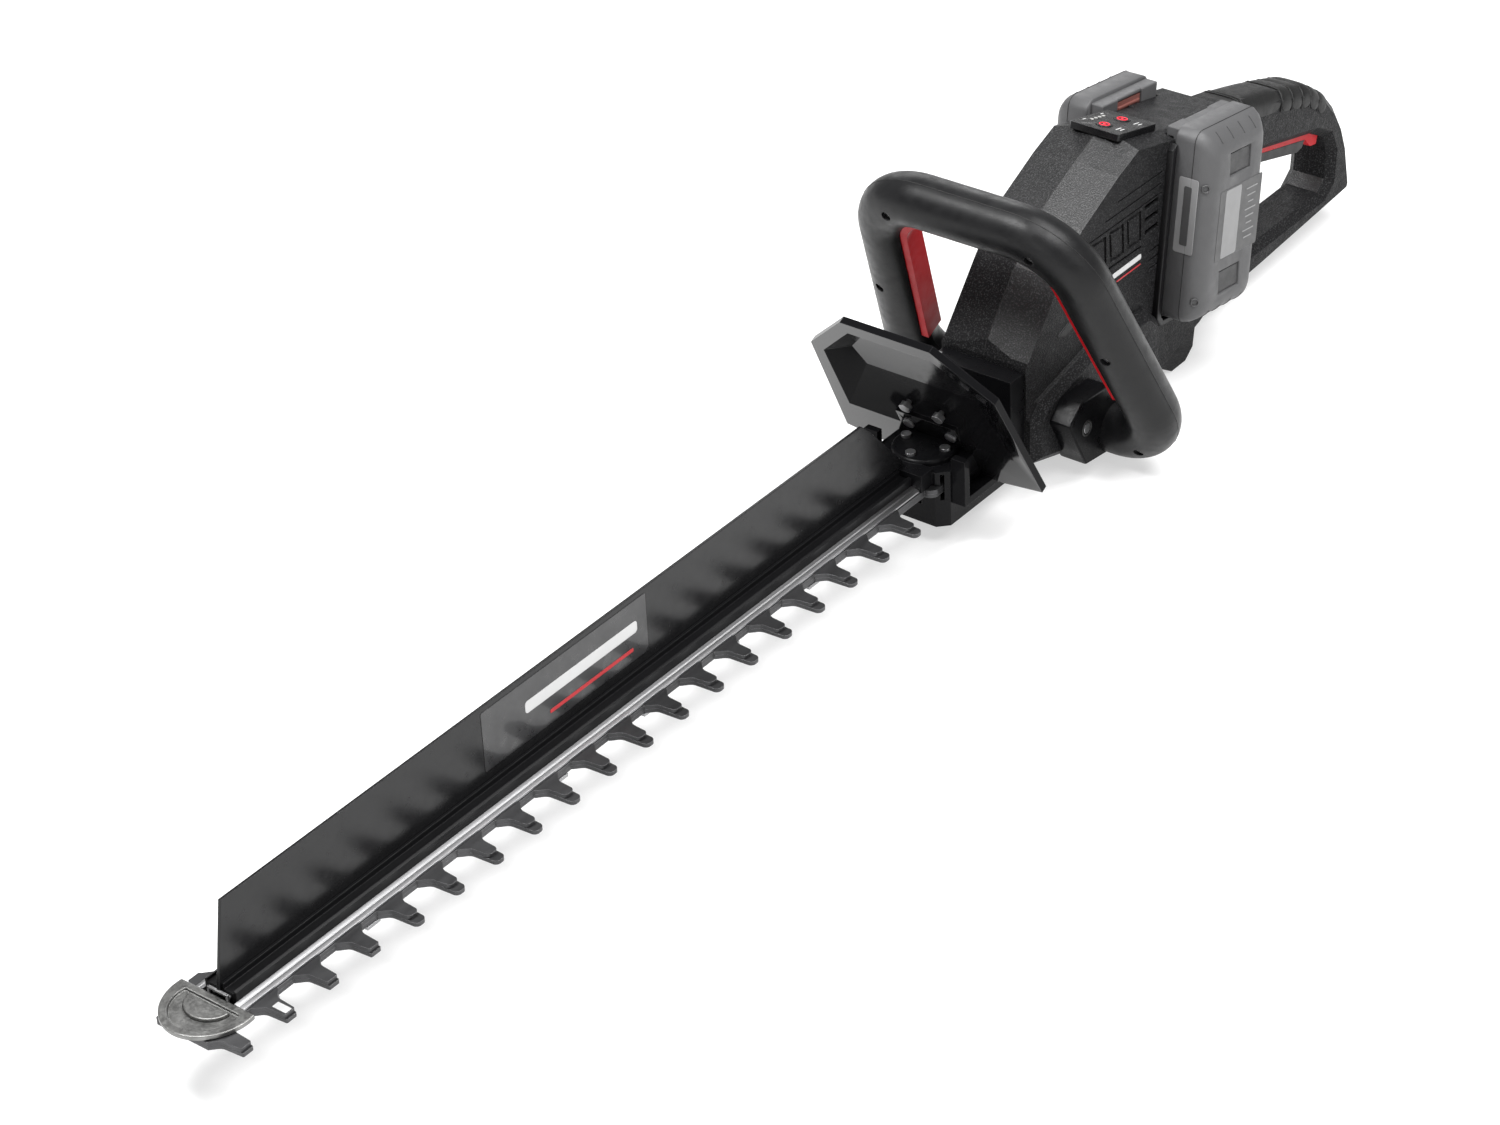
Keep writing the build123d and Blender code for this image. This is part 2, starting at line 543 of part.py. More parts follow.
# --- battery docks: a pocket on each side of a middle wall -----------------------------
pack_frame = Pos(PACK_X, 0, PACK_Z) * Rot(0, -PACK_TILT, 0)
DOCK_HALF_W = 31.0
DOCK_INNER_Y = 21.2
HALF_L = PACK_LENGTH / 2


def pack_block(half_w, y0, y1, low, high):
    """Box in the tilted frame of a battery pack; low and high run along its length."""
    return pack_frame * Pos(0, (y0 + y1) / 2, (low + high) / 2) * Box(2 * half_w, y1 - y0, high - low)


dock_wall = pack_block(DOCK_HALF_W + 2.4, DOCK_INNER_Y - 2.4, BODY_HALF, -HALF_L - 2.4, 46.0)
shell += both_sides(dock_wall & body)
shell -= both_sides(pack_block(DOCK_HALF_W, DOCK_INNER_Y, BODY_HALF + 20, -HALF_L, 90.0))
rim_plate = pack_block(DOCK_HALF_W + 6.0, BODY_HALF - 1.5, BODY_HALF + 1.1, -HALF_L - 3.0, 46.0)
rim_plate -= pack_block(DOCK_HALF_W + 1.0, 0, 60, -HALF_L, 90.0)
shell += both_sides(rim_plate & prism_y([(-180, -10), (-180, 165), (-283, 150), (-283, -10)], 0, 60))

# --- openings of the two shells ---------------------------------------------------------
shell -= rod_x(NOSE_X - 4, NOSE_X + 1, MOTOR_Z, 9.0)


def side_cut(points, depth, round_r=0.0):
    """Recess in both side walls with an outline in X and Z."""
    return both_sides(prism_y(points, BODY_HALF - depth, BODY_HALF + 8, round_r))


for k in range(3):
    z = 127.0 - 8.0 * k
    shell -= side_cut([(-178.5, z), (-192.5, z), (-192.5, z - 3.2), (-178.5, z - 3.2)], 9.0)
    z = 95.6 - 5.6 * k
    shell -= side_cut([(-183.5, z), (-195.0, z), (-195.0, z - 1.2), (-183.5, z - 1.2)], 1.0)
for k in range(3):
    x = -123.5 - 18.0 * k
    frame = [(x, 127.0), (x - 15.0, 126.0), (x - 15.6, 106.0), (x - 1.0, 107.0)]
    island = [(x - 2.2, 124.6), (x - 12.8, 123.8), (x - 13.4, 108.4), (x - 3.2, 109.2)]
    shell -= side_cut(frame, 1.2, 1.0)
    shell += both_sides(prism_y(island, BODY_HALF - 2.2, BODY_HALF - 0.1, 0.8))
shell -= side_cut([(-136.5, 104.6), (-175.0, 103.4), (-175.0, 101.8), (-136.5, 103.0)], 1.4)
for x, z in ((-150.0, 142.6), (-137.5, 135.6), (-119.0, 129.6)):
    shell -= side_cut([(x, z), (-196.0, z - 0.8), (-196.0, z - 2.0), (x, z - 1.0)], 0.8)

TRIGGER_HALF = 8.5
trigger_slot = prism_y([(-330.0, 84.0), (-330.0, 104.0), (-404.0, 93.0), (-411.6, 75.0), (-412.6, 57.0)],
                       -TRIGGER_HALF - 0.4, TRIGGER_HALF + 0.4)
shell -= trigger_slot

pad_band = prism_y([(-296.0, 160.0), (-296.0, 128.0), (-345.0, 114.5), (-385.0, 101.0), (-412.0, 104.0),
                    (-420.0, 160.0)], -30, 30)
PAD_T = 2.2
pad_core = prism_y([(x + 0.4, z - PAD_T) for x, z in GRIP_TOP[:6]] + [(-418.0, 40.0), (-250.0, 40.0)],
                   -HANDLE_HALF + PAD_T, HANDLE_HALF - PAD_T)
pad = (handle & pad_band) - pad_core
pad = pad.solids().sort_by(SortBy.VOLUME)[-1]
shell -= pad
save("grip_pad", pad)

# =====================================================================================
# trigger with its pad, microswitch and leaf spring
# =====================================================================================
TRIGGER_PIVOT = (-336.0, 96.5)

trigger = prism_y([(-331.5, 100.0), (-341.0, 99.5), (-384.0, 88.5), (-398.0, 80.5), (-407.0, 69.0),
                   (-405.0, 62.5), (-398.0, 64.0), (-391.0, 71.5), (-336.0, 85.5), (-331.5, 90.0)],
                  -TRIGGER_HALF, TRIGGER_HALF, 0.8)
trigger -= rod_y(*TRIGGER_PIVOT, -20, 20, 2.0 + RUN_FIT)
trigger_pad = prism_y([(-336.0, 85.6), (-391.0, 71.6), (-388.0, 67.5), (-382.0, 66.5), (-340.0, 78.5)],
                      -TRIGGER_HALF, TRIGGER_HALF)
save("trigger", trigger)
save("trigger_pad", trigger_pad - trigger)
pivot_pin = rod_y(*TRIGGER_PIVOT, -HANDLE_HALF + 3, HANDLE_HALF - 3, 2.0)
save("trigger_pin", pivot_pin)
shell -= rod_y(*TRIGGER_PIVOT, -HANDLE_HALF + 3, HANDLE_HALF - 3, 2.0)
switch_body = block(-382, -362, -4, 4, 99.0, 104.5)
switch_lever = prism_y([(-363, 99.1), (-363, 98.3), (-381, 95.6), (-381, 96.2), (-365, 99.1)], -2.5, 2.5)
save("trigger_switch", switch_body + switch_lever)
leaf = prism_y([(-343.0, 104.5), (-343.0, 105.3), (-360.0, 101.0), (-360.0, 100.3)], -2.5, 2.5)
leaf += block(-345, -341, -3, 3, 104.6, 110.0)
save("trigger_spring", leaf)

# =====================================================================================
# loop handle: front and rear half shells, switch bar, microswitches, foot brackets
# =====================================================================================
loop_lean = math.radians(LOOP_LEAN)
loop_plane = Plane(origin=(LOOP_FOOT_X, 0, 0), x_dir=(0, 1, 0),
                   z_dir=(math.cos(loop_lean), 0, -math.sin(loop_lean)))
LOOP_END_Y = 48.0
TOP_BEND_R = 36.5
LOW_BEND_R = 28.5
TUBE_WALL = 2.6


def loop_tube(r):
    """Round bar bent into the loop: two short feet, two legs and the top."""
    points = [(LOOP_END_Y, LOOP_FOOT), (LOOP_FOOT_HALF, LOOP_FOOT), (LOOP_TOP_HALF, LOOP_TOP)]
    points += [(-y, along) for y, along in reversed(points)]
    path = loop_plane * FilletPolyline(*points, radius=[LOW_BEND_R, TOP_BEND_R, TOP_BEND_R, LOW_BEND_R])
    start = Plane(origin=path @ 0, z_dir=path % 0)
    return sweep(start * Circle(r), path=path)


def bar_band(inset_a, inset_b, half_w, end_s):
    """Flat U-shaped band on the inside of the loop, between two insets."""
    side = (LOOP_FOOT_HALF - LOOP_TOP_HALF) / (LOOP_TOP - LOOP_FOOT)

    def outline(inset):
        top = LOOP_TOP - inset
        half_top = LOOP_TOP_HALF - inset
        half_end = half_top + (top - end_s) * side
        face = make_face(Polyline((half_end, end_s), (half_top, top), (-half_top, top),
                                  (-half_end, end_s), close=True))
        return fillet(face.vertices().filter_by(lambda v: v.Y > end_s + 1), TOP_BEND_R - inset)

    band = outline(inset_a) - outline(inset_b)
    return loop_plane * extrude(band, amount=half_w, both=True)


BAR_HALF = 7.0
BAR_INNER = TUBE_R + 0.5     # the bar stands half a millimetre out of the tube
BAR_END = 62.0
FLANGE_IN = 6.0
SCREWS_LEFT = [(47.0, 187.0), (76.0, 112.0), (76.0, 28.0)]
LOOP_SCREWS = [(side * y, along) for side in (-1, 1) for y, along in SCREWS_LEFT]

loop_hollow = loop_tube(TUBE_R - TUBE_WALL)
loop = loop_tube(TUBE_R) - loop_hollow
loop_screws = []
bar_notches = []
for y, along in LOOP_SCREWS:
    seat = loop_plane * Pos(y, along, 0)
    loop += (seat * Cylinder(4.2, 2 * TUBE_R)) & loop_hollow
    loop -= seat * Pos(0, 0, TUBE_R - 1.5) * Cylinder(3.0, 5.0)
    loop -= seat * Pos(0, 0, 3.0) * Cylinder(1.3, 14.0)
    screw = seat * (Pos(0, 0, TUBE_R - 3.2) * Cylinder(2.7, 1.6) + Pos(0, 0, 3.0) * Cylinder(1.3, 14.0))
    loop_screws.append(screw - seat * Pos(0, 0, TUBE_R - 2.6) * Box(0.8, 3.4, 0.8))
    bar_notches.append(seat * Box(18.0, 18.0, 40.0))
loop -= bar_band(4.5, 26.0, BAR_HALF + 0.4, BAR_END - 0.4)
front_space = loop_plane * Pos(0, 90, 50) * Box(300, 300, 100)
rear_space = loop_plane * Pos(0, 90, -50) * Box(300, 300, 100)
save("loop_shell_front", loop & front_space)
save("loop_shell_rear", loop & rear_space)
save("loop_screws", group(loop_screws))

bar_flange = bar_band(FLANGE_IN, 9.4, BAR_HALF + 1.6, BAR_END + 4.0)
bar_flange &= loop_tube(TUBE_R - TUBE_WALL - 0.35)
for notch in bar_notches:
    bar_flange -= notch
switch_bar = bar_band(9.2, BAR_INNER, BAR_HALF, BAR_END) + bar_flange
save("switch_bar", switch_bar)

bar_switches = []
bar_springs = []
for side in (-1, 1):
    spot = loop_plane * Pos(side * 32.0, LOOP_TOP + 1.6, 0)
    bar_switches.append(spot * Box(14.0, 5.6, 6.0))
    spot = loop_plane * Pos(side * 14.0, LOOP_TOP + 3.0, 0)
    foot_end = Pos(side * -3.0, -1.4, 0) * Rot(0, 0, side * 14) * Box(8, 0.5, 4)
    bar_springs.append(spot * (Box(13.0, 0.6, 5.0) + foot_end))
save("bar_switches", group(bar_switches))
save("bar_springs", group(bar_springs))

bracket_outline = [(-60.0, 46.0), (-75.0, 54.0), (-108.0, 50.0), (-128.0, 38.0), (-130.0, 12.0),
                   (-97.0, 0.0), (-76.0, 20.0)]
bracket = prism_y(bracket_outline, BELLY_HALF - 3, LOOP_END_Y)
bracket = chamfer(bracket.edges().filter_by(lambda e: abs(e.center().Y - LOOP_END_Y) < 0.01), 2.0)
bracket -= outer
bracket = bracket.solids().sort_by(SortBy.VOLUME)[-1]
bracket -= rod_y(-93.0, 28.0, LOOP_END_Y - 2.0, LOOP_END_Y + 5, 5.0)
bracket_screw = rod_y(-93.0, 28.0, LOOP_END_Y - 2.0, LOOP_END_Y + 0.6, 3.6)
bracket_screw -= Pos(-93.0, LOOP_END_Y, 28.0) * Box(1.0, 3.0, 5.0)
save("foot_bracket_left", bracket)
save("foot_bracket_right", mirror(bracket, Plane.XZ))
save("bracket_screws", group([bracket_screw, mirror(bracket_screw, Plane.XZ)]))

# =====================================================================================
# control panel with two buttons
# =====================================================================================
PANEL_T = 4.0
BUTTON_R = 4.7
panel_place = Pos(-188.0, 0, 168.5 - 18.0 * SEAT_DROP) * Rot(0, -14.0, 0)
panel = panel_place * extrude(RectangleRounded(41.0, 33.0, 1.5), amount=PANEL_T)
buttons = []
for x in (9.5, -9.5):
    panel -= panel_place * Pos(x, 0, PANEL_T) * Cylinder(BUTTON_R + 0.3, 6.2)
    buttons.append(panel_place * Pos(x, 0, PANEL_T - 1.0) * Cylinder(BUTTON_R, 3.0))
lamps = [panel_place * Pos(6.0 - 4.0 * k, -10.5, PANEL_T + 0.1) * Cylinder(1.1, 0.5) for k in range(4)]
for lamp in lamps:
    panel -= lamp
save("control_panel", panel)
save("power_button", buttons[0])
save("mode_button", buttons[1])
save("panel_lamps", group(lamps))

# =====================================================================================
# electronics and battery terminals
# =====================================================================================
BOARD_Z = 98.0
board = block(-160, -92, -21, 21, BOARD_Z, BOARD_Z + 1.6)
COMPONENTS = [(-150, -10, 14, 10, 9), (-150, 10, 14, 10, 9), (-128, 0, 20, 20, 6), (-106, 8, 9, 12, 5)]
for x, y, w, d, h in COMPONENTS:
    board += block(x - w / 2, x + w / 2, y - d / 2, y + d / 2, BOARD_Z + 1.6, BOARD_Z + 1.6 + h)
save("control_board", board)

# ribs in both shells hold the motor can and carry the board
for x in (-127.0, -99.0):
    rib = block(x, x + 2.4, -BODY_HALF + 1, BODY_HALF - 1, 8, BOARD_Z) - rod_x(x - 1, x + 4, MOTOR_Z, MOTOR_R)
    shell += rib
shell += block(-157.0, -154.6, -BODY_HALF + 1, BODY_HALF - 1, 8, BOARD_Z)

terminal = pack_block(13.0, DOCK_INNER_Y, DOCK_INNER_Y + 2.0, -30.0, 14.0)
for k in range(4):
    terminal += pack_frame * Pos(-9.0 + 6.0 * k, DOCK_INNER_Y + 3.8, -10.0) * Box(1.0, 4.0, 12.0)
save("dock_terminal_left", terminal)
save("dock_terminal_right", mirror(terminal, Plane.XZ))

# =====================================================================================
# battery packs: outer case, rail half and release button
# =====================================================================================
PACK_REAR_Y = PACK_INNER_Y + 1.0
RAIL_HALF_W = DOCK_HALF_W - 1.6
RAIL_INNER_Y = DOCK_INNER_Y + 0.5
GUIDE_Y = DOCK_INNER_Y + 3.6
LATCH_HALF = 12.7
LATCH_TRAVEL = 2.4
LATCH_LOW = 33.0
LATCH_HIGH = 54.0


def pack_case():
    """Outer case: its plan and its side view have bevelled corners."""
    w = PACK_WIDTH / 2
    plan = make_face(Polyline((-w, PACK_REAR_Y), (-w, PACK_OUTER_Y - 8), (-w + 6, PACK_OUTER_Y),
                              (w - 6, PACK_OUTER_Y), (w, PACK_OUTER_Y - 8), (w, PACK_REAR_Y), close=True))
    plan = fillet(plan.vertices().filter_by(lambda v: v.Y > PACK_OUTER_Y - 9), 3.5)
    side = make_face(Polyline((PACK_REAR_Y, -HALF_L), (PACK_OUTER_Y - 6, -HALF_L),
                              (PACK_OUTER_Y, -HALF_L + 6), (PACK_OUTER_Y, HALF_L - 10),
                              (PACK_OUTER_Y - 9, HALF_L), (PACK_REAR_Y, HALF_L), close=True))
    upright = Pos(0, 0, -HALF_L) * extrude(plan, amount=PACK_LENGTH)
    across = Pos(-w, 0, 0) * extrude(Plane.YZ * side, amount=PACK_WIDTH)
    return pack_frame * (upright & across)


pack = pack_case()
for low in (29.0, -44.0):
    pack -= pack_block(11.0, PACK_OUTER_Y - 1.4, PACK_OUTER_Y + 1, low, low + 15.0)

pack_rail = pack_block(RAIL_HALF_W, RAIL_INNER_Y, PACK_REAR_Y, -HALF_L + 1.0, HALF_L - 2.0)
pack_rail -= pack_block(15.0, 0.0, DOCK_INNER_Y + 6.8, -HALF_L - 5.0, 16.0)
for side in (-1, 1):
    pack_rail -= pack_frame * Pos(side * DOCK_HALF_W, GUIDE_Y, -8.0) * Box(9.0, 3.0, PACK_LENGTH)
    guide = pack_frame * Pos(side * (DOCK_HALF_W - 1.2), GUIDE_Y, -8.0) * Box(3.6, 2.4, 98.0)
    shell += both_sides(guide)
pack_rail -= pack_block(LATCH_HALF + 0.3, 0.0, PACK_REAR_Y, LATCH_LOW - 0.4, 80.0)

latch = pack_block(LATCH_HALF, RAIL_INNER_Y + 1.2, PACK_REAR_Y - LATCH_TRAVEL - 0.4, LATCH_LOW, LATCH_HIGH)
for k in range(5):
    along = LATCH_LOW + 3.0 + 3.6 * k
    latch += pack_frame * Pos(0, RAIL_INNER_Y + 0.9, along) * Box(2 * LATCH_HALF - 3.0, 1.4, 1.6)

save("pack_left_case", pack)
save("pack_left_rail", pack_rail)
save("pack_left_latch", latch)
save("pack_right_case", mirror(pack, Plane.XZ))
save("pack_right_rail", mirror(pack_rail, Plane.XZ))
save("pack_right_latch", mirror(latch, Plane.XZ))

# =====================================================================================
# housing halves and their screws
# =====================================================================================
HOUSING_SCREWS = [(-84.0, 92.0, BODY_HALF), (-136.0, 86.0, BODY_HALF), (-140.0, 34.0, BELLY_HALF),
                  (-426.0, 44.0, HANDLE_HALF), (-318.0, 18.0, HANDLE_HALF)]
housing_screws = []
for x, z, y in HOUSING_SCREWS:
    shell -= rod_y(x, z, -y - 1, -y + 2.0, 3.2)
    housing_screws.append(rod_y(x, z, -y + 0.6, -y + 2.0, 2.8))

left_space = block(-500, 100, 0, 100, -20, 260)
right_space = block(-500, 100, -100, 0, -20, 260)
save("housing_left", shell & left_space)
save("housing_right", shell & right_space)
save("housing_screws", group(housing_screws))

# =====================================================================================
# files: the origin goes under the middle of the whole tool
# =====================================================================================
boxes = [shape.bounding_box() for shape in NODES.values()]
middle_x = (min(box.min.X for box in boxes) + max(box.max.X for box in boxes)) / 2
floor_z = min(box.min.Z for box in boxes)
for name, shape in NODES.items():
    export_step(Pos(-middle_x, 0, -floor_z) * shape, f"parts/{name}.step")
print("moved by", -middle_x, -floor_z)
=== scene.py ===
import json
import math

import bmesh
import bpy
from mathutils import Matrix, Vector


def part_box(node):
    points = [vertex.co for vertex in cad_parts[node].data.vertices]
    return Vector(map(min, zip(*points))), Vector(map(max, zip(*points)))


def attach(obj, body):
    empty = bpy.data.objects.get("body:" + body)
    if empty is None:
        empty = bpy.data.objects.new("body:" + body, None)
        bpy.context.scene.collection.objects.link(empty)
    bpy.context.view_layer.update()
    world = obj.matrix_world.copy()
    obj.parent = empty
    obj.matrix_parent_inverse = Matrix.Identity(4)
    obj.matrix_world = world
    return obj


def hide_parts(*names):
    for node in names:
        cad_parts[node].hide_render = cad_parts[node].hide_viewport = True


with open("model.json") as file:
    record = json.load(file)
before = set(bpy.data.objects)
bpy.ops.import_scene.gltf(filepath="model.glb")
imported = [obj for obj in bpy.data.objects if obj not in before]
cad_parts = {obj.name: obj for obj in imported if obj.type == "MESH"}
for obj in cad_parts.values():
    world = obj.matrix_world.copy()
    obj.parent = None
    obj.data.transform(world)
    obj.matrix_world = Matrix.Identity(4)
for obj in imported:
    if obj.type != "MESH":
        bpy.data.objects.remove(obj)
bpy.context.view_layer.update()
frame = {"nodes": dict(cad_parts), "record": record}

MM = 0.001
CRANK_X = sum(corner.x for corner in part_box("crown_gear")) / 2   # the crank's axis
UP = Vector((0, 0, 1))
FORWARD = Vector((1, 0, 0))
LEFT = Vector((0, 1, 0))
SIDES = ((1, "left"), (-1, "right"))
PACKS = ((1, "pack_left"), (-1, "pack_right"))

# driving dimensions in millimetres, as laid out round the crank's axis, and angles
PACK_X = -233.0
PACK_Z = 101.5
PACK_TILT = math.radians(8.0)
PACK_OUTER_Y = 55.0
PACK_HALF_W = 33.0
PACK_TALL = 118.0
BODY_HALF = 28.5
SEAT = math.radians(14.0)
PANEL_X = -188.0
PANEL_Z = 168.5 - 18.0 * math.tan(SEAT)
LOOP_LEAN = math.radians(24.5)
LOOP_FOOT_X = -125.0
LOOP_TUBE = 15.5              # radius of the loop's tube
GUARD_LEAN = math.radians(27.0)
FIN_FACE = 0.9                # half the fin's thickness


def at(x, y, z):
    """A layout point, in metres in the frame."""
    return Vector((x * MM + CRANK_X, y * MM, z * MM))


# =====================================================================================
# materials
# =====================================================================================
COAT_ROUGHNESS = 0.08
RELIEF_DEPTH = 0.0004         # metres
CLOUD_BAND = (0.3, 0.7)       # noise values of the darkest and the lightest colour
# the pale specks are painted glints of the grained skin
GLINT_SPECKLE_BAND = (0.52, 0.66)   # noise values where pale specks start and are full
ROUGH_BAND = (0.25, 0.75)     # noise values of the smoothest and the roughest spots
EDGE_PALE_BAND = (0.985, 0.90)     # cosine of the edge's turn where the paler edge colour starts and is full


def node(tree, kind, **values):
    made = tree.nodes.new(kind)
    for name, value in values.items():
        setattr(made, name, value)
    return made


def noise(tree, vector, scale, detail=4.0, rough=0.55):
    made = node(tree, "ShaderNodeTexNoise")
    made.inputs["Scale"].default_value = scale
    made.inputs["Detail"].default_value = detail
    made.inputs["Roughness"].default_value = rough
    tree.links.new(vector, made.inputs["Vector"])
    return made.outputs["Fac"]


def remap(tree, value, low, high, to_low, to_high):
    made = node(tree, "ShaderNodeMapRange")
    for name, number in (("From Min", low), ("From Max", high), ("To Min", to_low), ("To Max", to_high)):
        made.inputs[name].default_value = number
    tree.links.new(value, made.inputs["Value"])
    return made.outputs["Result"]


def mix(tree, fac, a, b):
    made = node(tree, "ShaderNodeMix", data_type="RGBA")
    for socket, value in ((made.inputs["A"], a), (made.inputs["B"], b)):
        if isinstance(value, tuple):
            socket.default_value = (*value, 1.0)
        else:
            tree.links.new(value, socket)
    tree.links.new(fac, made.inputs["Factor"])
    return made.outputs["Result"]


def shaded(color, gain, lift=0.0):
    """The colour made darker or lighter, up to white."""
    return tuple(min(1.0, c * gain + lift) for c in color)


def finish_of(name, color, rough, metallic=0.0, grain=2400.0, bump=0.08, cloud=26.0, spread=0.16,
              stretch=(1.0, 1.0, 1.0), edge=0.0, round_edge=0.0004, coat=0.0, glint_speckle=0.0, rough_spread=0.1,
              specular=0.5):
    """Surface with cloudy colour, grain in its bump and roughness, rounded edges and a paler colour along
    them.
    """
    made = bpy.data.materials.new(name)
    made.use_nodes = True
    tree = made.node_tree
    shader = tree.nodes["Principled BSDF"]
    shader.inputs["Metallic"].default_value = metallic
    shader.inputs["Specular IOR Level"].default_value = specular
    if coat:
        shader.inputs["Coat Weight"].default_value = coat
        shader.inputs["Coat Roughness"].default_value = COAT_ROUGHNESS
    mapping = node(tree, "ShaderNodeMapping")
    mapping.inputs["Scale"].default_value = stretch
    tree.links.new(node(tree, "ShaderNodeTexCoord").outputs["Object"], mapping.inputs["Vector"])
    where = mapping.outputs["Vector"]
    clouds = noise(tree, where, cloud, 5.0)
    fine = noise(tree, where, grain, 2.0)
    broad = noise(tree, where, cloud * 6.0, 3.0)

    tint = mix(tree, remap(tree, clouds, *CLOUD_BAND, 0.0, 1.0), shaded(color, 1.0 - spread),
               shaded(color, 1.0 + spread))
    # pale specks painted into the colour as glints of the grain
    if glint_speckle:
        glint_dots = remap(tree, fine, *GLINT_SPECKLE_BAND, 0.0, glint_speckle)
        tint = mix(tree, glint_dots, tint, shaded(color, 3.0, 0.02))
    rounded = node(tree, "ShaderNodeBevel", samples=4)
    rounded.inputs["Radius"].default_value = round_edge
    # the colour is made paler along the rounded edges
    if edge:
        flat = node(tree, "ShaderNodeNewGeometry").outputs["Normal"]
        dot = node(tree, "ShaderNodeVectorMath", operation="DOT_PRODUCT")
        tree.links.new(rounded.outputs["Normal"], dot.inputs[0])
        tree.links.new(flat, dot.inputs[1])
        paler_edge = remap(tree, dot.outputs["Value"], *EDGE_PALE_BAND, 0.0, edge)
        tint = mix(tree, paler_edge, tint, shaded(color, 2.2, 0.03))
    tree.links.new(tint, shader.inputs["Base Color"])
    tree.links.new(remap(tree, broad, *ROUGH_BAND, rough - rough_spread, rough + rough_spread),
                   shader.inputs["Roughness"])

    relief = node(tree, "ShaderNodeBump")
    relief.inputs["Strength"].default_value = bump
    relief.inputs["Distance"].default_value = RELIEF_DEPTH
    tree.links.new(fine, relief.inputs["Height"])
    tree.links.new(rounded.outputs["Normal"], relief.inputs["Normal"])
    tree.links.new(relief.outputs["Normal"], shader.inputs["Normal"])
    return made


def sheen_painted_by_facing(material, facing, start, end, low, high):
    """Painted highlight: make the faces that turn away from a direction reflect less than those that face it,
    as if the lights fell on these.
    """
    tree = material.node_tree
    flat = node(tree, "ShaderNodeNewGeometry").outputs["True Normal"]
    dot = node(tree, "ShaderNodeVectorMath", operation="DOT_PRODUCT")
    tree.links.new(flat, dot.inputs[0])
    dot.inputs[1].default_value = facing
    tree.links.new(remap(tree, dot.outputs["Value"], start, end, low, high),
                   tree.nodes["Principled BSDF"].inputs["Specular IOR Level"])
    return material


def glowing_finish(name, color, strength):
    """Small part with a slightly uneven glow: a lamp, or red print given a painted glow."""
    made = finish_of(name, color, 0.3, spread=0.1, cloud=900.0)
    tree = made.node_tree
    shader = tree.nodes["Principled BSDF"]
    where = node(tree, "ShaderNodeTexCoord").outputs["Object"]
    glow = mix(tree, noise(tree, where, 700.0), shaded(color, 0.7), color)
    tree.links.new(glow, shader.inputs["Emission Color"])
    shader.inputs["Emission Strength"].default_value = strength
    return made


# directions of the faces given a painted highlight: the near roof facet, and the front of the guard
ROOF_SHEEN_FACING = (0.45, 0.27, 0.85)
GUARD_SHEEN_FACING = (math.cos(GUARD_LEAN), 0.0, -math.sin(GUARD_LEAN))

# the record's material slots
MATERIALS = {
    # housing: a painted highlight on the faces turned like the near roof facet
    "housing_black": sheen_painted_by_facing(finish_of("housing_black", (0.009, 0.009, 0.0095), 0.42, grain=1150.0, bump=1.0,
                                       glint_speckle=0.8, edge=0.25, round_edge=0.0006, spread=0.12),
                             ROOF_SHEEN_FACING, 0.90, 0.955, 0.07, 0.6),
    "handle_black": finish_of("handle_black", (0.0065, 0.0065, 0.007), 0.38, grain=2400.0, bump=0.12,
                              edge=0.15, round_edge=0.0006, specular=0.24),
    "gloss_black": finish_of("gloss_black", (0.006, 0.006, 0.0065), 0.14, grain=500.0, bump=0.012,
                             edge=0.3, round_edge=0.0005, rough_spread=0.05, specular=0.26),
    "grip_rubber": finish_of("grip_rubber", (0.008, 0.008, 0.008), 0.48, grain=3200.0, bump=0.16,
                             round_edge=0.0006, specular=0.25),
    "red_plastic": finish_of("red_plastic", (0.46, 0.006, 0.012), 0.36, grain=2400.0, bump=0.08,
                             round_edge=0.0005, spread=0.1, specular=0.15),
    "pack_grey": finish_of("pack_grey", (0.070, 0.070, 0.072), 0.52, grain=1900.0, bump=0.22,
                           edge=0.12, spread=0.08, round_edge=0.0008),
    "case_black": finish_of("case_black", (0.004, 0.004, 0.0045), 0.32, grain=900.0, bump=0.15,
                            edge=0.35, round_edge=0.0005, specular=0.1),
    "blade_steel": finish_of("blade_steel", (0.06, 0.06, 0.062), 0.44, metallic=0.8, grain=900.0, bump=0.12,
                             stretch=(0.25, 1.0, 1.0), edge=0.7, round_edge=0.0004, spread=0.3),
    "rail_black": finish_of("rail_black", (0.005, 0.005, 0.0055), 0.34, grain=1200.0, bump=0.06,
                            stretch=(0.1, 1.0, 1.0), edge=0.3, round_edge=0.0003, specular=0.2),
    "strip_aluminium": finish_of("strip_aluminium", (0.34, 0.34, 0.345), 0.42, metallic=1.0, grain=1600.0,
                                 bump=0.05, stretch=(0.03, 1.0, 1.0), spread=0.12, round_edge=0.0003),
    "tip_metal": finish_of("tip_metal", (0.20, 0.20, 0.195), 0.40, metallic=1.0, grain=420.0, bump=0.35,
                           cloud=120.0, spread=0.35, edge=0.9, round_edge=0.0006),
    "screw_steel": finish_of("screw_steel", (0.26, 0.26, 0.265), 0.34, metallic=0.9, grain=900.0, bump=0.05,
                             edge=0.8, round_edge=0.0003),
    "machine_steel": finish_of("machine_steel", (0.55, 0.55, 0.56), 0.28, metallic=1.0, grain=1400.0,
                               bump=0.03, spread=0.1),
    "motor_copper": finish_of("motor_copper", (0.42, 0.22, 0.12), 0.4, metallic=0.8, grain=900.0, bump=0.2),
    "fan_plastic": finish_of("fan_plastic", (0.05, 0.05, 0.055), 0.5, grain=2000.0, bump=0.08),
    "board_green": finish_of("board_green", (0.02, 0.10, 0.04), 0.3, grain=500.0, bump=0.08),
    "lamp_clear": glowing_finish("lamp_clear", (0.3, 0.3, 0.29), 0.1),
    "contact_brass": finish_of("contact_brass", (0.6, 0.42, 0.18), 0.3, metallic=1.0, grain=800.0, bump=0.03),
}
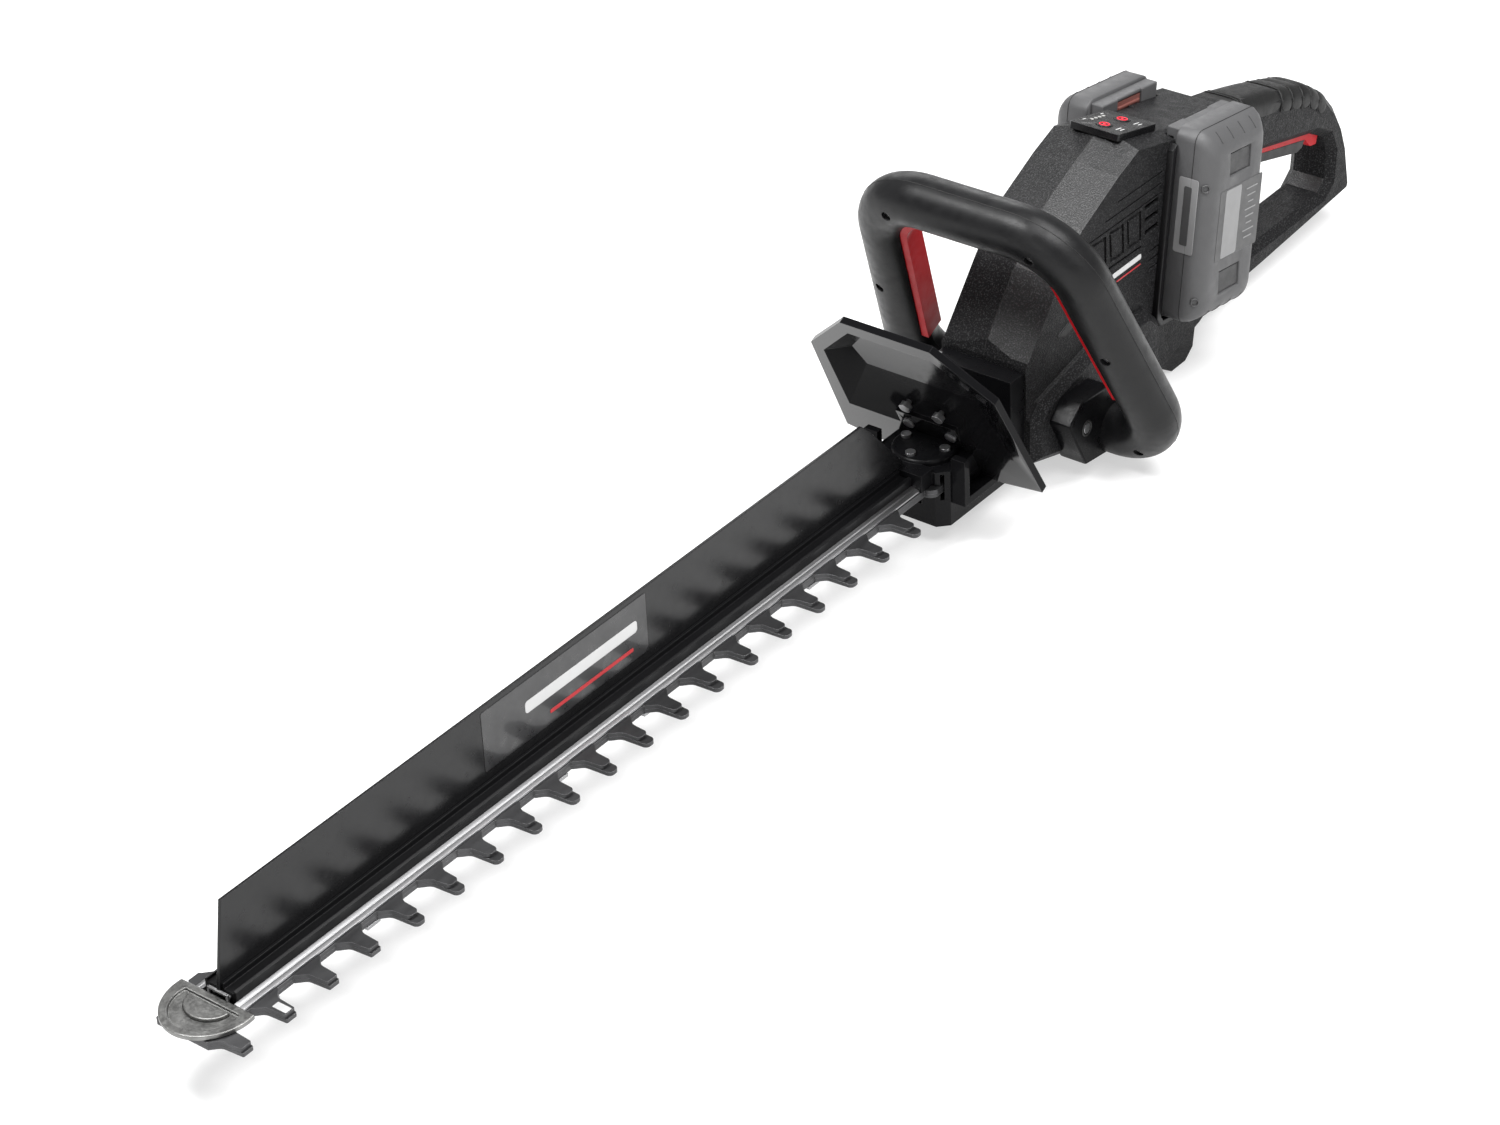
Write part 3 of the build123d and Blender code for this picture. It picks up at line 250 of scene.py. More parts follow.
# finishes of single pieces and small marks
DETAIL = {
    # guard: a painted reflection on the faces turned to the front
    "guard_gloss": sheen_painted_by_facing(finish_of("guard_gloss", (0.005, 0.005, 0.0055), 0.12, grain=500.0, bump=0.01,
                                     edge=0.5, round_edge=0.0005, rough_spread=0.05),
                           GUARD_SHEEN_FACING, 0.975, 0.995, 0.04, 0.55),
    "panel_black": finish_of("panel_black", (0.006, 0.006, 0.0065), 0.22, grain=900.0, bump=0.03,
                             edge=0.3, round_edge=0.0005, specular=0.3),
    "fin_black": finish_of("fin_black", (0.007, 0.007, 0.0075), 0.24, grain=500.0, bump=0.012,
                           edge=0.6, round_edge=0.0005, rough_spread=0.05, specular=0.26),
    "ground_face_glint": finish_of("ground_face_glint", (0.75, 0.75, 0.75), 0.35, metallic=0.6, grain=900.0, bump=0.05,
                             spread=0.06, round_edge=0.0002),
    "pad_grey": finish_of("pad_grey", (0.024, 0.024, 0.025), 0.5, grain=1900.0, bump=0.2, spread=0.1),
    # dark of real joints, and painted shade in openings, recesses, slits and grooves
    "seam_and_shade_dark": finish_of("seam_and_shade_dark", (0.003, 0.003, 0.003), 0.6, round_edge=0.0001),
    "label_grey": finish_of("label_grey", (0.21, 0.21, 0.212), 0.42, grain=900.0, bump=0.03, spread=0.06,
                            round_edge=0.0002),
    "label_dark": finish_of("label_dark", (0.055, 0.055, 0.056), 0.45, grain=900.0, bump=0.03, spread=0.06,
                            round_edge=0.0002),
    "print_white": finish_of("print_white", (0.55, 0.55, 0.55), 0.45, spread=0.04, bump=0.02),
    "print_red": finish_of("print_red", (0.42, 0.012, 0.018), 0.45, spread=0.08, bump=0.02),
    "decal_black": finish_of("decal_black", (0.010, 0.010, 0.011), 0.32, spread=0.08, bump=0.02, coat=0.3),
    "painted_glow_red": glowing_finish("painted_glow_red", (0.62, 0.01, 0.03), 0.7),
    "latch_brown": finish_of("latch_brown", (0.16, 0.055, 0.045), 0.42, grain=1800.0, bump=0.1),
}


def paint(obj, material):
    obj.data.materials.clear()
    obj.data.materials.append(material)


SLOTS = {part["node"]: part["material_slot"] for part in frame["record"]["subparts"]}
for name, obj in frame["nodes"].items():
    paint(obj, MATERIALS[SLOTS[name]])
paint(frame["nodes"]["blade_rail"], MATERIALS["strip_aluminium"])   # its bright edge shows along the blade

# =====================================================================================
# mesh tools
# =====================================================================================
SHARP = 32.0                  # degrees between faces from which an edge counts as sharp
SHARP_SOFT = 60.0             # the same on beads and soft ribs
MERGE_WITHIN = 2e-6           # metres
FLAT_WITHIN = math.radians(0.6)


def body_of(name):
    for body, members in frame["record"]["behaviour"]["bodies"].items():
        if name in members:
            return body


def place(name, mesh, material, body):
    obj = bpy.data.objects.new(name, mesh)
    bpy.context.scene.collection.objects.link(obj)
    paint(obj, material)
    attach(obj, body)
    return obj


def modified(obj):
    """Bake an object's modifiers into its mesh."""
    bpy.context.view_layer.update()
    graph = bpy.context.evaluated_depsgraph_get()
    mesh = bpy.data.meshes.new_from_object(obj.evaluated_get(graph))
    obj.modifiers.clear()
    obj.data = mesh


def smooth(obj, angle=SHARP):
    obj.data.shade_smooth()
    obj.data.set_sharp_from_angle(angle=math.radians(angle))


def bevelled(obj, width, segments=2, angle=SHARP):
    """Round the object's sharp edges by a width in millimetres."""
    step = obj.modifiers.new("edges", "BEVEL")
    step.width = width * MM
    step.segments = segments
    step.limit_method = "ANGLE"
    step.angle_limit = math.radians(angle)
    step.use_clamp_overlap = True
    step.harden_normals = True
    modified(obj)


def refined(name, width, segments=2, material=None):
    """Copy of a CAD node with merged flat faces and rounded edges, which stands for the node."""
    mesh = frame["nodes"][name].data.copy()
    shape = bmesh.new()
    shape.from_mesh(mesh)
    bmesh.ops.remove_doubles(shape, verts=shape.verts, dist=MERGE_WITHIN)
    bmesh.ops.dissolve_limit(shape, angle_limit=FLAT_WITHIN, verts=shape.verts, edges=shape.edges)
    shape.to_mesh(mesh)
    shape.free()
    slot = SLOTS[name]
    obj = place(name + "_look", mesh, material or MATERIALS[slot], body_of(name))
    smooth(obj)
    bevelled(obj, width, segments)
    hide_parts(name)


def from_faces(name, verts, faces, material, body):
    mesh = bpy.data.meshes.new(name)
    mesh.from_pydata([tuple(v) for v in verts], [], faces)
    shape = bmesh.new()
    shape.from_mesh(mesh)
    bmesh.ops.recalc_face_normals(shape, faces=shape.faces)
    shape.to_mesh(mesh)
    shape.free()
    return place(name, mesh, material, body)


def slab(name, outline, push, material, body, width=0.25):
    """Flat piece: an outline of points and the vector that gives its thickness."""
    count = len(outline)
    verts = list(outline) + [p + push for p in outline]
    faces = [tuple(range(count)), tuple(range(2 * count - 1, count - 1, -1))]
    faces += [(i, (i + 1) % count, count + (i + 1) % count, count + i) for i in range(count)]
    obj = from_faces(name, verts, faces, material, body)
    if width:
        bevelled(obj, width)
    smooth(obj)
    return obj


def rounded_outline(centre, across, along, width, height, radius, steps=5):
    """Points of a rounded rectangle in the plane of two unit vectors, sizes in millimetres."""
    points = []
    for k, (sx, sy) in enumerate(((1, 1), (-1, 1), (-1, -1), (1, -1))):
        for n in range(steps + 1):
            turn = math.pi / 2 * (k + n / steps)
            u = sx * (width / 2 - radius) + radius * math.cos(turn)
            v = sy * (height / 2 - radius) + radius * math.sin(turn)
            points.append(centre + across * (u * MM) + along * (v * MM))
    return points


def plate(name, centre, across, along, size, thick, radius, material, body, width=0.2):
    """Flat rounded rectangle whose thickness grows towards across x along."""
    normal = across.cross(along)
    outline = rounded_outline(centre, across, along, size[0], size[1], radius)
    return slab(name, outline, normal * (thick * MM), material, body, width)


def line(name, points, radius, material, body):
    """Thin round bead through points."""
    curve = bpy.data.curves.new(name, "CURVE")
    curve.dimensions = "3D"
    curve.bevel_depth = radius * MM
    curve.bevel_resolution = 2
    spline = curve.splines.new("POLY")
    spline.points.add(len(points) - 1)
    for target, point in zip(spline.points, points):
        target.co = (*point, 1.0)
    temp = bpy.data.objects.new(name, curve)
    bpy.context.scene.collection.objects.link(temp)
    bpy.context.view_layer.update()
    mesh = bpy.data.meshes.new_from_object(temp.evaluated_get(bpy.context.evaluated_depsgraph_get()))
    bpy.data.objects.remove(temp)
    smooth(place(name, mesh, material, body), SHARP_SOFT)


def ring(name, centre, normal, radius, tube, material, body, steps=40):
    """Round bead in a circle."""
    across = normal.orthogonal().normalized()
    along = normal.cross(across)
    points = []
    for n in range(steps + 1):
        turn = 2 * math.pi * n / steps
        points.append(centre + (across * math.cos(turn) + along * math.sin(turn)) * (radius * MM))
    line(name, points, tube, material, body)


# =====================================================================================
# camera and lights
# =====================================================================================
AZIMUTH = math.radians(129.0803)
ELEVATION = math.radians(33.1929)
ROLL = math.radians(-2.9759)
TARGET = at(158.0, 0.0, 58.8)
DISTANCE = 2.0787
LENS = 94.97
SENSOR = 36.0
WORLD_STRENGTH = 0.30
FLOOR_REACH = 6.0
FLOOR_DROP = 0.0006           # clear of the tool's feet
FLOOR_GLOW = 0.55             # lifts the floor towards the photo's white
WHITE = (1.0, 1.0, 1.0, 1.0)

back = Vector((math.sin(AZIMUTH) * math.cos(ELEVATION), -math.cos(AZIMUTH) * math.cos(ELEVATION),
               math.sin(ELEVATION)))
right = (-back).cross(UP).normalized()
up = back.cross(right)
turned_right = right * math.cos(ROLL) + up * math.sin(ROLL)
turned_up = up * math.cos(ROLL) - right * math.sin(ROLL)
camera_data = bpy.data.cameras.new("camera")
camera_data.lens = LENS
camera_data.sensor_width = SENSOR
camera = bpy.data.objects.new("camera", camera_data)
bpy.context.scene.collection.objects.link(camera)
stand = Matrix((turned_right, turned_up, back)).transposed().to_4x4()
stand.translation = TARGET + back * DISTANCE
camera.matrix_world = stand
bpy.context.scene.camera = camera


def area_light(name, spot, aim, size, power):
    data = bpy.data.lights.new(name, "AREA")
    data.shape = "RECTANGLE"
    data.size, data.size_y = size
    data.energy = power
    obj = bpy.data.objects.new(name, data)
    bpy.context.scene.collection.objects.link(obj)
    obj.location = Vector(spot)
    obj.rotation_euler = (Vector(aim) - Vector(spot)).to_track_quat("-Z", "Y").to_euler()


area_light("overhead", spot=(-0.2, 0.7, 1.8), aim=(0, 0, 0.05), size=(1.8, 1.1), power=58.0)
area_light("front", spot=(1.9, 0.5, 0.7), aim=(0, 0, 0.08), size=(0.9, 0.8), power=5.0)
area_light("side", spot=(0.0, 2.0, 0.9), aim=(0, 0, 0.08), size=(1.2, 0.6), power=5.0)
area_light("rear", spot=(-1.6, -1.3, 0.9), aim=(-0.2, 0, 0.1), size=(1.2, 0.8), power=10.0)
area_light("roof", spot=(0.5, -0.42, 1.4), aim=(-0.18, 0, 0.13), size=(0.5, 0.4), power=24.0)
bpy.context.scene.view_settings.view_transform = "Standard"

world = bpy.data.worlds.new("world")
bpy.context.scene.world = world
world.use_nodes = True
background = world.node_tree.nodes["Background"]
background.inputs["Color"].default_value = WHITE
background.inputs["Strength"].default_value = WORLD_STRENGTH

floor_mesh = bpy.data.meshes.new("floor")
floor_mesh.from_pydata([(sx * FLOOR_REACH, sy * FLOOR_REACH, 0)
                        for sx, sy in ((-1, -1), (1, -1), (1, 1), (-1, 1))], [], [(0, 1, 2, 3)])
floor = bpy.data.objects.new("floor", floor_mesh)
bpy.context.scene.collection.objects.link(floor)
floor.location.z = -FLOOR_DROP
floor_pale = finish_of("floor_pale", (0.48, 0.48, 0.48), 0.95, spread=0.01, bump=0.0, cloud=2.0,
                       specular=0.1)
floor_shader = floor_pale.node_tree.nodes["Principled BSDF"]
floor_shader.inputs["Emission Color"].default_value = WHITE
floor_shader.inputs["Emission Strength"].default_value = FLOOR_GLOW
paint(floor, floor_pale)

# =====================================================================================
# rounded copies of the CAD parts whose edges show, and the feet of the loop
# =====================================================================================
OTHER_FINISH = {"deflector_fin": DETAIL["fin_black"], "hand_guard": DETAIL["guard_gloss"],
                "control_panel": DETAIL["panel_black"]}
# width of each part's rounded edges in millimetres
EDGES = {"hand_guard": 0.5, "deflector_fin": 0.3, "control_panel": 0.6, "trigger": 0.8, "trigger_pad": 0.8,
         "switch_bar": 0.6, "gear_case_lower": 0.6, "gear_case_upper": 0.5, "side_strips": 0.2,
         "rail_cover": 0.2, "tip_guard": 0.5}
for name, width in EDGES.items():
    refined(name, width, material=OTHER_FINISH.get(name))

# outline of the loop's feet, seen from the side
BRACKET = [(-69.6, 41.9), (-82.2, 52.6), (-110.3, 50.0), (-126.0, 38.0), (-127.0, 14.0), (-116.0, 5.7),
           (-86.2, 9.4)]
BRACKET_Y = 32.0
BRACKET_THICK = 18.0
BRACKET_EDGE = 1.2
SCREW_X = -86.6
SCREW_Z = 33.6
SCREW_RECESS = 4.2
SCREW_SIZE = 6.4
for side, tag in SIDES:
    deep = Vector((0, side * BRACKET_THICK * MM, 0))
    foot = slab(f"foot_bracket_{tag}_look", [at(x, side * BRACKET_Y, z) for x, z in BRACKET], deep,
                MATERIALS["case_black"], "housing", BRACKET_EDGE)
    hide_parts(f"foot_bracket_{tag}")
    seat = at(SCREW_X, side * (BRACKET_Y + BRACKET_THICK), SCREW_Z)
    # dark ring of painted shade in the recess round the screw
    ring(f"bracket_recess_shade_{tag}", seat, LEFT * side, SCREW_RECESS, 0.7, DETAIL["seam_and_shade_dark"], "housing")
    head = plate(f"bracket_screw_{tag}", seat - Vector((0, side * 0.6 * MM, 0)), UP * side, FORWARD,
                 (SCREW_SIZE, SCREW_SIZE), 1.1, 3.1, MATERIALS["screw_steel"], "housing", 0.5)
    if side > 0:
        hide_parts("bracket_screws")

# =====================================================================================
# battery packs: cases with sunk pads, labels, side plates, shallow marks and the dock rims
# =====================================================================================
PACK_U = Vector((math.cos(PACK_TILT), 0.0, math.sin(PACK_TILT)))
PACK_W = Vector((-math.sin(PACK_TILT), 0.0, math.cos(PACK_TILT)))

# distance from the centre plane, then how far the outline draws in at the sides, top and bottom
CASE_RINGS = [(30.0, 0.5, 0.5, 0.5), (30.7, 0.0, 0.0, 0.0), (43.0, 0.0, 0.2, 0.0), (47.0, 0.9, 2.6, 0.9),
              (50.0, 3.0, 5.4, 2.6), (52.6, 5.4, 8.4, 5.0), (54.3, 8.0, 11.4, 7.4), (55.0, 11.0, 14.4, 10.4)]
SEAM_RING = CASE_RINGS[2]
# distance from the centre plane and height of the points down the case's rounded ends
SLIT = [(47.0, -58.2), (50.0, -56.5), (52.6, -54.1), (54.3, -51.7)]
CREASE = [(47.0, 56.5), (50.0, 53.7), (52.6, 50.7)]
CASE_CORNER = 7.0
PADS = (29.0, -44.0)          # lower ends of the sunk grip pads
PAD_TALL = 15.0
PAD_SINK = 1.6
PAD_SHRINK = (0.93, 0.88)     # the pad beside its recess, across and along
MARKS = (-18.0, -6.0, 6.0, 18.0)   # places of the slits and creases across the case
LABEL = (46, 44)
LABEL_FIELD = (17, 42)
LABEL_ROWS = 8
SIDE_LABEL = (13, 46)
SIDE_MARK = (5, 36)
DIMPLES = (26.0, -44.0)       # heights of the round marks on the front corner
# outline of the rim round a dock, in the plane of the pack
DOCK_RIM = [(33.6, 50.0), (38.2, 46.0), (38.2, -58.0), (33.0, -63.4), (-30.0, -63.4), (-30.0, -59.8),
            (31.0, -59.8), (33.6, -57.0)]
# closes the gap between the rail and the case at the top of the pack
BRIDGE = [(-14, 22.6), (14, 22.6), (14, 30.4), (-14, 30.4)]
BRIDGE_W = 54.6


def on_pack(u, y, w):
    """A point of a pack: along its width, from the centre plane, and up its height."""
    return at(PACK_X, y, PACK_Z) + PACK_U * (u * MM) + PACK_W * (w * MM)


def pack_outline(side, y, inset, top, bottom):
    centre = on_pack(0, side * y, (bottom - top) / 2)
    return rounded_outline(centre, PACK_U, PACK_W, 2 * PACK_HALF_W - 2 * inset, PACK_TALL - top - bottom,
                           CASE_CORNER, 6)


def cut(obj, cutter):
    """Take one object out of another."""
    step = obj.modifiers.new("cut", "BOOLEAN")
    step.operation = "DIFFERENCE"
    step.solver = "EXACT"
    step.object = cutter
    modified(obj)
    bpy.data.objects.remove(cutter)


def pack_case(side, body):
    """Battery case drawn in towards its outer face, with two sunk grip pads."""
    verts = []
    for draw_in in CASE_RINGS:
        verts += pack_outline(side, *draw_in)
    count = len(verts) // len(CASE_RINGS)
    faces = [tuple(range(count)), tuple(range(len(verts) - 1, len(verts) - count - 1, -1))]
    for row in range(len(CASE_RINGS) - 1):
        for col in range(count):
            a, b = row * count + col, row * count + (col + 1) % count
            faces.append((a, b, b + count, a + count))
    obj = from_faces(body + "_case_look", verts, faces, MATERIALS["pack_grey"], body)
    out = Vector((0, side * MM, 0))
    for low in PADS:
        corners = [(-12.0, low), (10.5, low), (12.0, low + PAD_TALL), (-10.5, low + PAD_TALL)]
        outline = [on_pack(u, side * (PACK_OUTER_Y - PAD_SINK), w) for u, w in corners]
        cut(obj, slab("cutter", outline, out * 4.0, MATERIALS["pack_grey"], body, 0))
        middle = low + PAD_TALL / 2
        inner = [on_pack(u * PAD_SHRINK[0], side * (PACK_OUTER_Y - PAD_SINK - 0.1),
                         middle + (w - middle) * PAD_SHRINK[1]) for u, w in corners]
        slab(f"{body}_pad{int(low)}", inner, out * 0.8, DETAIL["pad_grey"], body, 0.4)
    bevelled(obj, 0.5, angle=50.0)
    smooth(obj, 40.0)
    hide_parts(body + "_case")
    seam = pack_outline(side, *SEAM_RING)
    line(body + "_seam", seam + seam[:1], 0.22, DETAIL["seam_and_shade_dark"], body)
    # the slits and creases are dark lines of painted shade
    for k, u in enumerate(MARKS):
        line(f"{body}_slit{k}", [on_pack(u, side * y, w) for y, w in SLIT], 0.28, DETAIL["seam_and_shade_dark"], body)
        line(f"{body}_crease{k}", [on_pack(u, side * y, w) for y, w in CREASE], 0.25, DETAIL["pad_grey"],
             body)


for side, body in PACKS:
    pack_case(side, body)
    slab(body + "_dock_rim", [on_pack(u, side * 26.0, w) for u, w in DOCK_RIM],
         Vector((0, side * 6.4 * MM, 0)), MATERIALS["handle_black"], "housing", 0.8)
    face_y = side * PACK_OUTER_Y
    across = PACK_U * -side   # so that the plates on the outer face grow outwards
    plate(body + "_label", on_pack(-4, face_y - side * 0.1, 0), across, PACK_W, LABEL, 0.3, 1.5,
          DETAIL["label_dark"], body)
    plate(body + "_label_field", on_pack(4.5, face_y + side * 0.1, 0), across, PACK_W, LABEL_FIELD, 0.25,
          1.5, DETAIL["label_grey"], body)
    for k in range(LABEL_ROWS):
        plate(f"{body}_label_row{k}", on_pack(-16.0, face_y + side * 0.1, 16.0 - 4.4 * k), across, PACK_W,
              (12.0 - 3.0 * (k % 3), 0.8), 0.25, 0.3, DETAIL["label_grey"], body, 0)
    front = on_pack(PACK_HALF_W - 0.1, side * 41.5, 8.0)
    plate(body + "_side_label", front, LEFT, PACK_W, SIDE_LABEL, 0.3, 1.5, DETAIL["label_grey"], body)
    plate(body + "_side_mark", front + PACK_U * (0.3 * MM), LEFT, PACK_W, SIDE_MARK, 0.2, 1.0,
          DETAIL["label_dark"], body)
    for w in DIMPLES:
        ring(f"{body}_dimple{int(w)}", on_pack(PACK_HALF_W - 3.2, side * (PACK_OUTER_Y - 4.0), w),
             (PACK_U + LEFT * side).normalized(), 2.2, 0.5, DETAIL["label_dark"], body)
for side, body in PACKS:
    refined(body + "_latch", 0.4, material=DETAIL["latch_brown"])
    refined(body + "_rail", 1.2, 3, MATERIALS["pack_grey"])
    slab(body + "_bridge", [on_pack(u, side * y, BRIDGE_W) for u, y in BRIDGE], PACK_W * (2.3 * MM),
         MATERIALS["pack_grey"], body, 0.9)

# =====================================================================================
# rear grip: raised curved ribs, a smooth thumb zone and grooves drawn as dark lines of painted shade
# =====================================================================================
# the grip's top line, from the front to the back
GRIP_LINE = [(-300.0, 136.5), (-349.0, 123.0), (-386.0, 111.0), (-405.5, 97.5), (-419.0, 82.5)]
# the grip's upper half across: from the centre plane, and above its top line
SECTION = [(-16.3, -12.0), (-16.3, -5.6), (-14.0, -2.2), (-10.6, 0.3), (-5.0, 0.5), (0.0, 0.5), (5.0, 0.5),
           (10.6, 0.3), (14.0, -2.2), (16.3, -5.6), (16.3, -12.0)]
GRIP_HALF = 16.3
GRIP_FLAT = 10.0              # half width of the flat top
GRIP_TURN = 6.3               # width of the rounding beside it
# a rib's section: share of its width, and share of its height
RIB_PROFILE = [(-0.5, -0.5), (-0.46, 0.35), (-0.34, 0.9), (0.0, 1.0), (0.34, 0.9), (0.46, 0.35), (0.5, -0.5)]
RIB_COUNT = 5
RIB_FIRST = 60.0              # distances along the grip's top line from its front
RIB_PITCH = 12.6
RIB_WIDTH = 11.4
RIB_HEIGHT = 0.8
RIB_BOW = -4.0
RISE_LOST = 0.8               # share of a rib's height lost on the rounding
RISE_OUT = 0.6                # share of it that stands out sideways there
THUMB_AT = 31.0
THUMB_WIDTH = 40.0
THUMB_HEIGHT = 0.7
THUMB_BOW = -3.0
RIBS_START = 50.0             # the thumb zone ends here
GROOVES = (4.0, 7.5, 53.2, 66.3, 78.9, 91.5, 104.1)


def along_grip(distance):
    """Point and direction of the grip's top line, a distance from its front."""
    for (x0, z0), (x1, z1) in zip(GRIP_LINE[:-1], GRIP_LINE[1:]):
        run = math.hypot(x1 - x0, z1 - z0)
        if distance <= run:
            share = distance / run
            return (x0 + (x1 - x0) * share, z0 + (z1 - z0) * share), ((x1 - x0) / run, (z1 - z0) / run)
        distance -= run
    return GRIP_LINE[-1], ((x1 - x0) / run, (z1 - z0) / run)


def bowed(bow, y):
    """How far a line across the grip shifts at a distance from the centre plane."""
    return bow * (1.0 - (y / GRIP_HALF) ** 2)


def grip_rib(name, distance, width, height, bow):
    """One rib across the grip: a low pillow that bends in the middle."""
    verts = []
    for y, depth in SECTION:
        for share, lift in RIB_PROFILE:
            (x, z), (tx, tz) = along_grip(distance + (share * width - bowed(bow, y)))
            side_share = min(1.0, max(0.0, (abs(y) - GRIP_FLAT) / GRIP_TURN))
            rise = lift * height
            level = depth + rise * (1.0 - side_share * RISE_LOST)
            wide = y + math.copysign(rise * side_share * RISE_OUT, y)
            verts.append(at(x + tz * level, wide, z - tx * level))
    count = len(RIB_PROFILE)
    faces = []
    for row in range(len(SECTION) - 1):
        for col in range(count - 1):
            a = row * count + col
            faces.append((a, a + 1, a + count + 1, a + count))
    faces.append(tuple(range(count)))
    last = (len(SECTION) - 1) * count
    faces.append(tuple(range(last + count - 1, last - 1, -1)))
    obj = from_faces(name, verts, faces, MATERIALS["grip_rubber"], "housing")
    soft = obj.modifiers.new("soft", "SUBSURF")
    soft.levels = soft.render_levels = 2
    modified(obj)
    smooth(obj, SHARP_SOFT)


def groove_shade_line(name, distance, bow):
    """Thin dark line across the grip: painted shade in a groove."""
    points = []
    for y, depth in SECTION:
        (x, z), (tx, tz) = along_grip(distance - bowed(bow, y))
        points.append(at(x + tz * depth, y, z - tx * depth))
    line(name, points, 0.5, DETAIL["seam_and_shade_dark"], "housing")


for k in range(RIB_COUNT):
    grip_rib(f"grip_rib{k}", RIB_FIRST + RIB_PITCH * k, RIB_WIDTH, RIB_HEIGHT, RIB_BOW)
grip_rib("grip_thumb", THUMB_AT, THUMB_WIDTH, THUMB_HEIGHT, THUMB_BOW)
for k, distance in enumerate(GROOVES):
    groove_shade_line(f"groove_shade_line{k}", distance, RIB_BOW if distance > RIBS_START else THUMB_BOW)

# =====================================================================================
# panel: red rings and marks with a painted glow, and the buttons
# =====================================================================================
PANEL_U = Vector((math.cos(SEAT), 0.0, math.sin(SEAT)))
PANEL_N = Vector((-math.sin(SEAT), 0.0, math.cos(SEAT)))
BUTTON_U = 9.5
BUTTON_TOP = 4.5
PANEL_TOP = 3.95
GLOW_RADIUS = 2.9
TICKS = (9.5, 12.0, -13.6)    # the printed ticks' distances from the centre plane


def on_panel(u, y, n):
    """A point of the panel: along it, from the centre plane, and above it."""
    return at(PANEL_X, y, PANEL_Z) + PANEL_U * (u * MM) + PANEL_N * (n * MM)


for u, body in ((BUTTON_U, "power_button"), (-BUTTON_U, "mode_button")):
    refined(body, 0.4, 3, MATERIALS["gloss_black"])
    # the red ring and mark are print given a painted glow
    ring(body + "_glow", on_panel(u, 0, BUTTON_TOP), PANEL_N, GLOW_RADIUS, 0.35, DETAIL["painted_glow_red"], body)
    plate(body + "_mark", on_panel(u, 0, BUTTON_TOP - 0.05), PANEL_U, LEFT, (1.6, 1.6), 0.3, 0.7,
          DETAIL["painted_glow_red"], body)
    for k, y in enumerate(TICKS):
        plate(f"{body}_tick{k}", on_panel(u, y, PANEL_TOP), PANEL_U, LEFT, (6.0 - 1.5 * k, 0.7), 0.2, 0.3,
              DETAIL["print_white"], "housing", 0)

# =====================================================================================
# seams of the loop and the roof, and dark sheets of painted shade for the openings low on the body
# =====================================================================================
# corners of the loop's centre line in its own leaning plane, and the radius at each
LOOP_CORNERS = [((48.0, 22.5), 0.0), ((87.5, 22.5), 28.5), ((61.0, 189.0), 36.5), ((-61.0, 189.0), 36.5),
                ((-87.5, 22.5), 28.5), ((-48.0, 22.5), 0.0)]
# the joint of the two shells over the roof
ROOF_LINE = [(-58.5, 80.5), (-61.5, 88.0), (-89.6, 121.1), (-112.4, 143.6), (-149.5, 161.0), (-168.0, 167.7)]
# corners of the openings low on the sides
AIR_GAPS = ([(-89.5, 84.5), (-112.0, 92.5), (-117.0, 86.0), (-97.0, 81.5)],
            [(-114.0, 75.0), (-122.0, 82.0), (-140.0, 79.0), (-135.0, 73.5)])


def rotated(v, angle):
    return Vector((v.x * math.cos(angle) - v.y * math.sin(angle),
                   v.x * math.sin(angle) + v.y * math.cos(angle)))


def loop_path(offset, steps=10):
    """The loop's centre line moved outwards, as points in the frame."""
    corners = [Vector(corner) for corner, _ in LOOP_CORNERS]
    radii = [radius for _, radius in LOOP_CORNERS]
    flat = [(corners[0], (corners[1] - corners[0]).normalized())]
    for before, here, after, radius in zip(corners, corners[1:], corners[2:], radii[1:]):
        into = (here - before).normalized()
        out = (after - here).normalized()
        half = into.angle(out) / 2
        start = here - into * (radius * math.tan(half))
        turn = 1 if into.x * out.y - into.y * out.x > 0 else -1
        centre = start + Vector((-into.y, into.x)) * (radius * turn)
        for n in range(steps + 1):
            angle = turn * 2 * half * n / steps
            flat.append((centre + rotated(start - centre, angle), rotated(into, angle)))
    flat.append((corners[-1], (corners[-1] - corners[-2]).normalized()))
    points = []
    for here, run in flat:
        moved = here + Vector((run.y, -run.x)) * offset
        points.append(at(LOOP_FOOT_X + moved.y * math.sin(LOOP_LEAN), moved.x, moved.y * math.cos(LOOP_LEAN)))
    return points


line("loop_seam", loop_path(LOOP_TUBE), 0.28, DETAIL["seam_and_shade_dark"], "housing")
line("roof_seam", [at(x, 0, z) for x, z in ROOF_LINE], 0.3, DETAIL["seam_and_shade_dark"], "housing")
for side, tag in SIDES:
    out = Vector((0, side * 0.2 * MM, 0))
    skin = side * (BODY_HALF - 0.05)
    for k, corners in enumerate(AIR_GAPS):
        outline = [at(x, skin, z) for x, z in corners]
        # a dark sheet on the skin: painted shade standing for the hollow of each opening
        slab(f"air_gap_shade{k}_{tag}", outline, out, DETAIL["seam_and_shade_dark"], "housing", 0)
        line(f"air_lip{k}_{tag}", outline[:2], 0.7, MATERIALS["handle_black"], "housing")
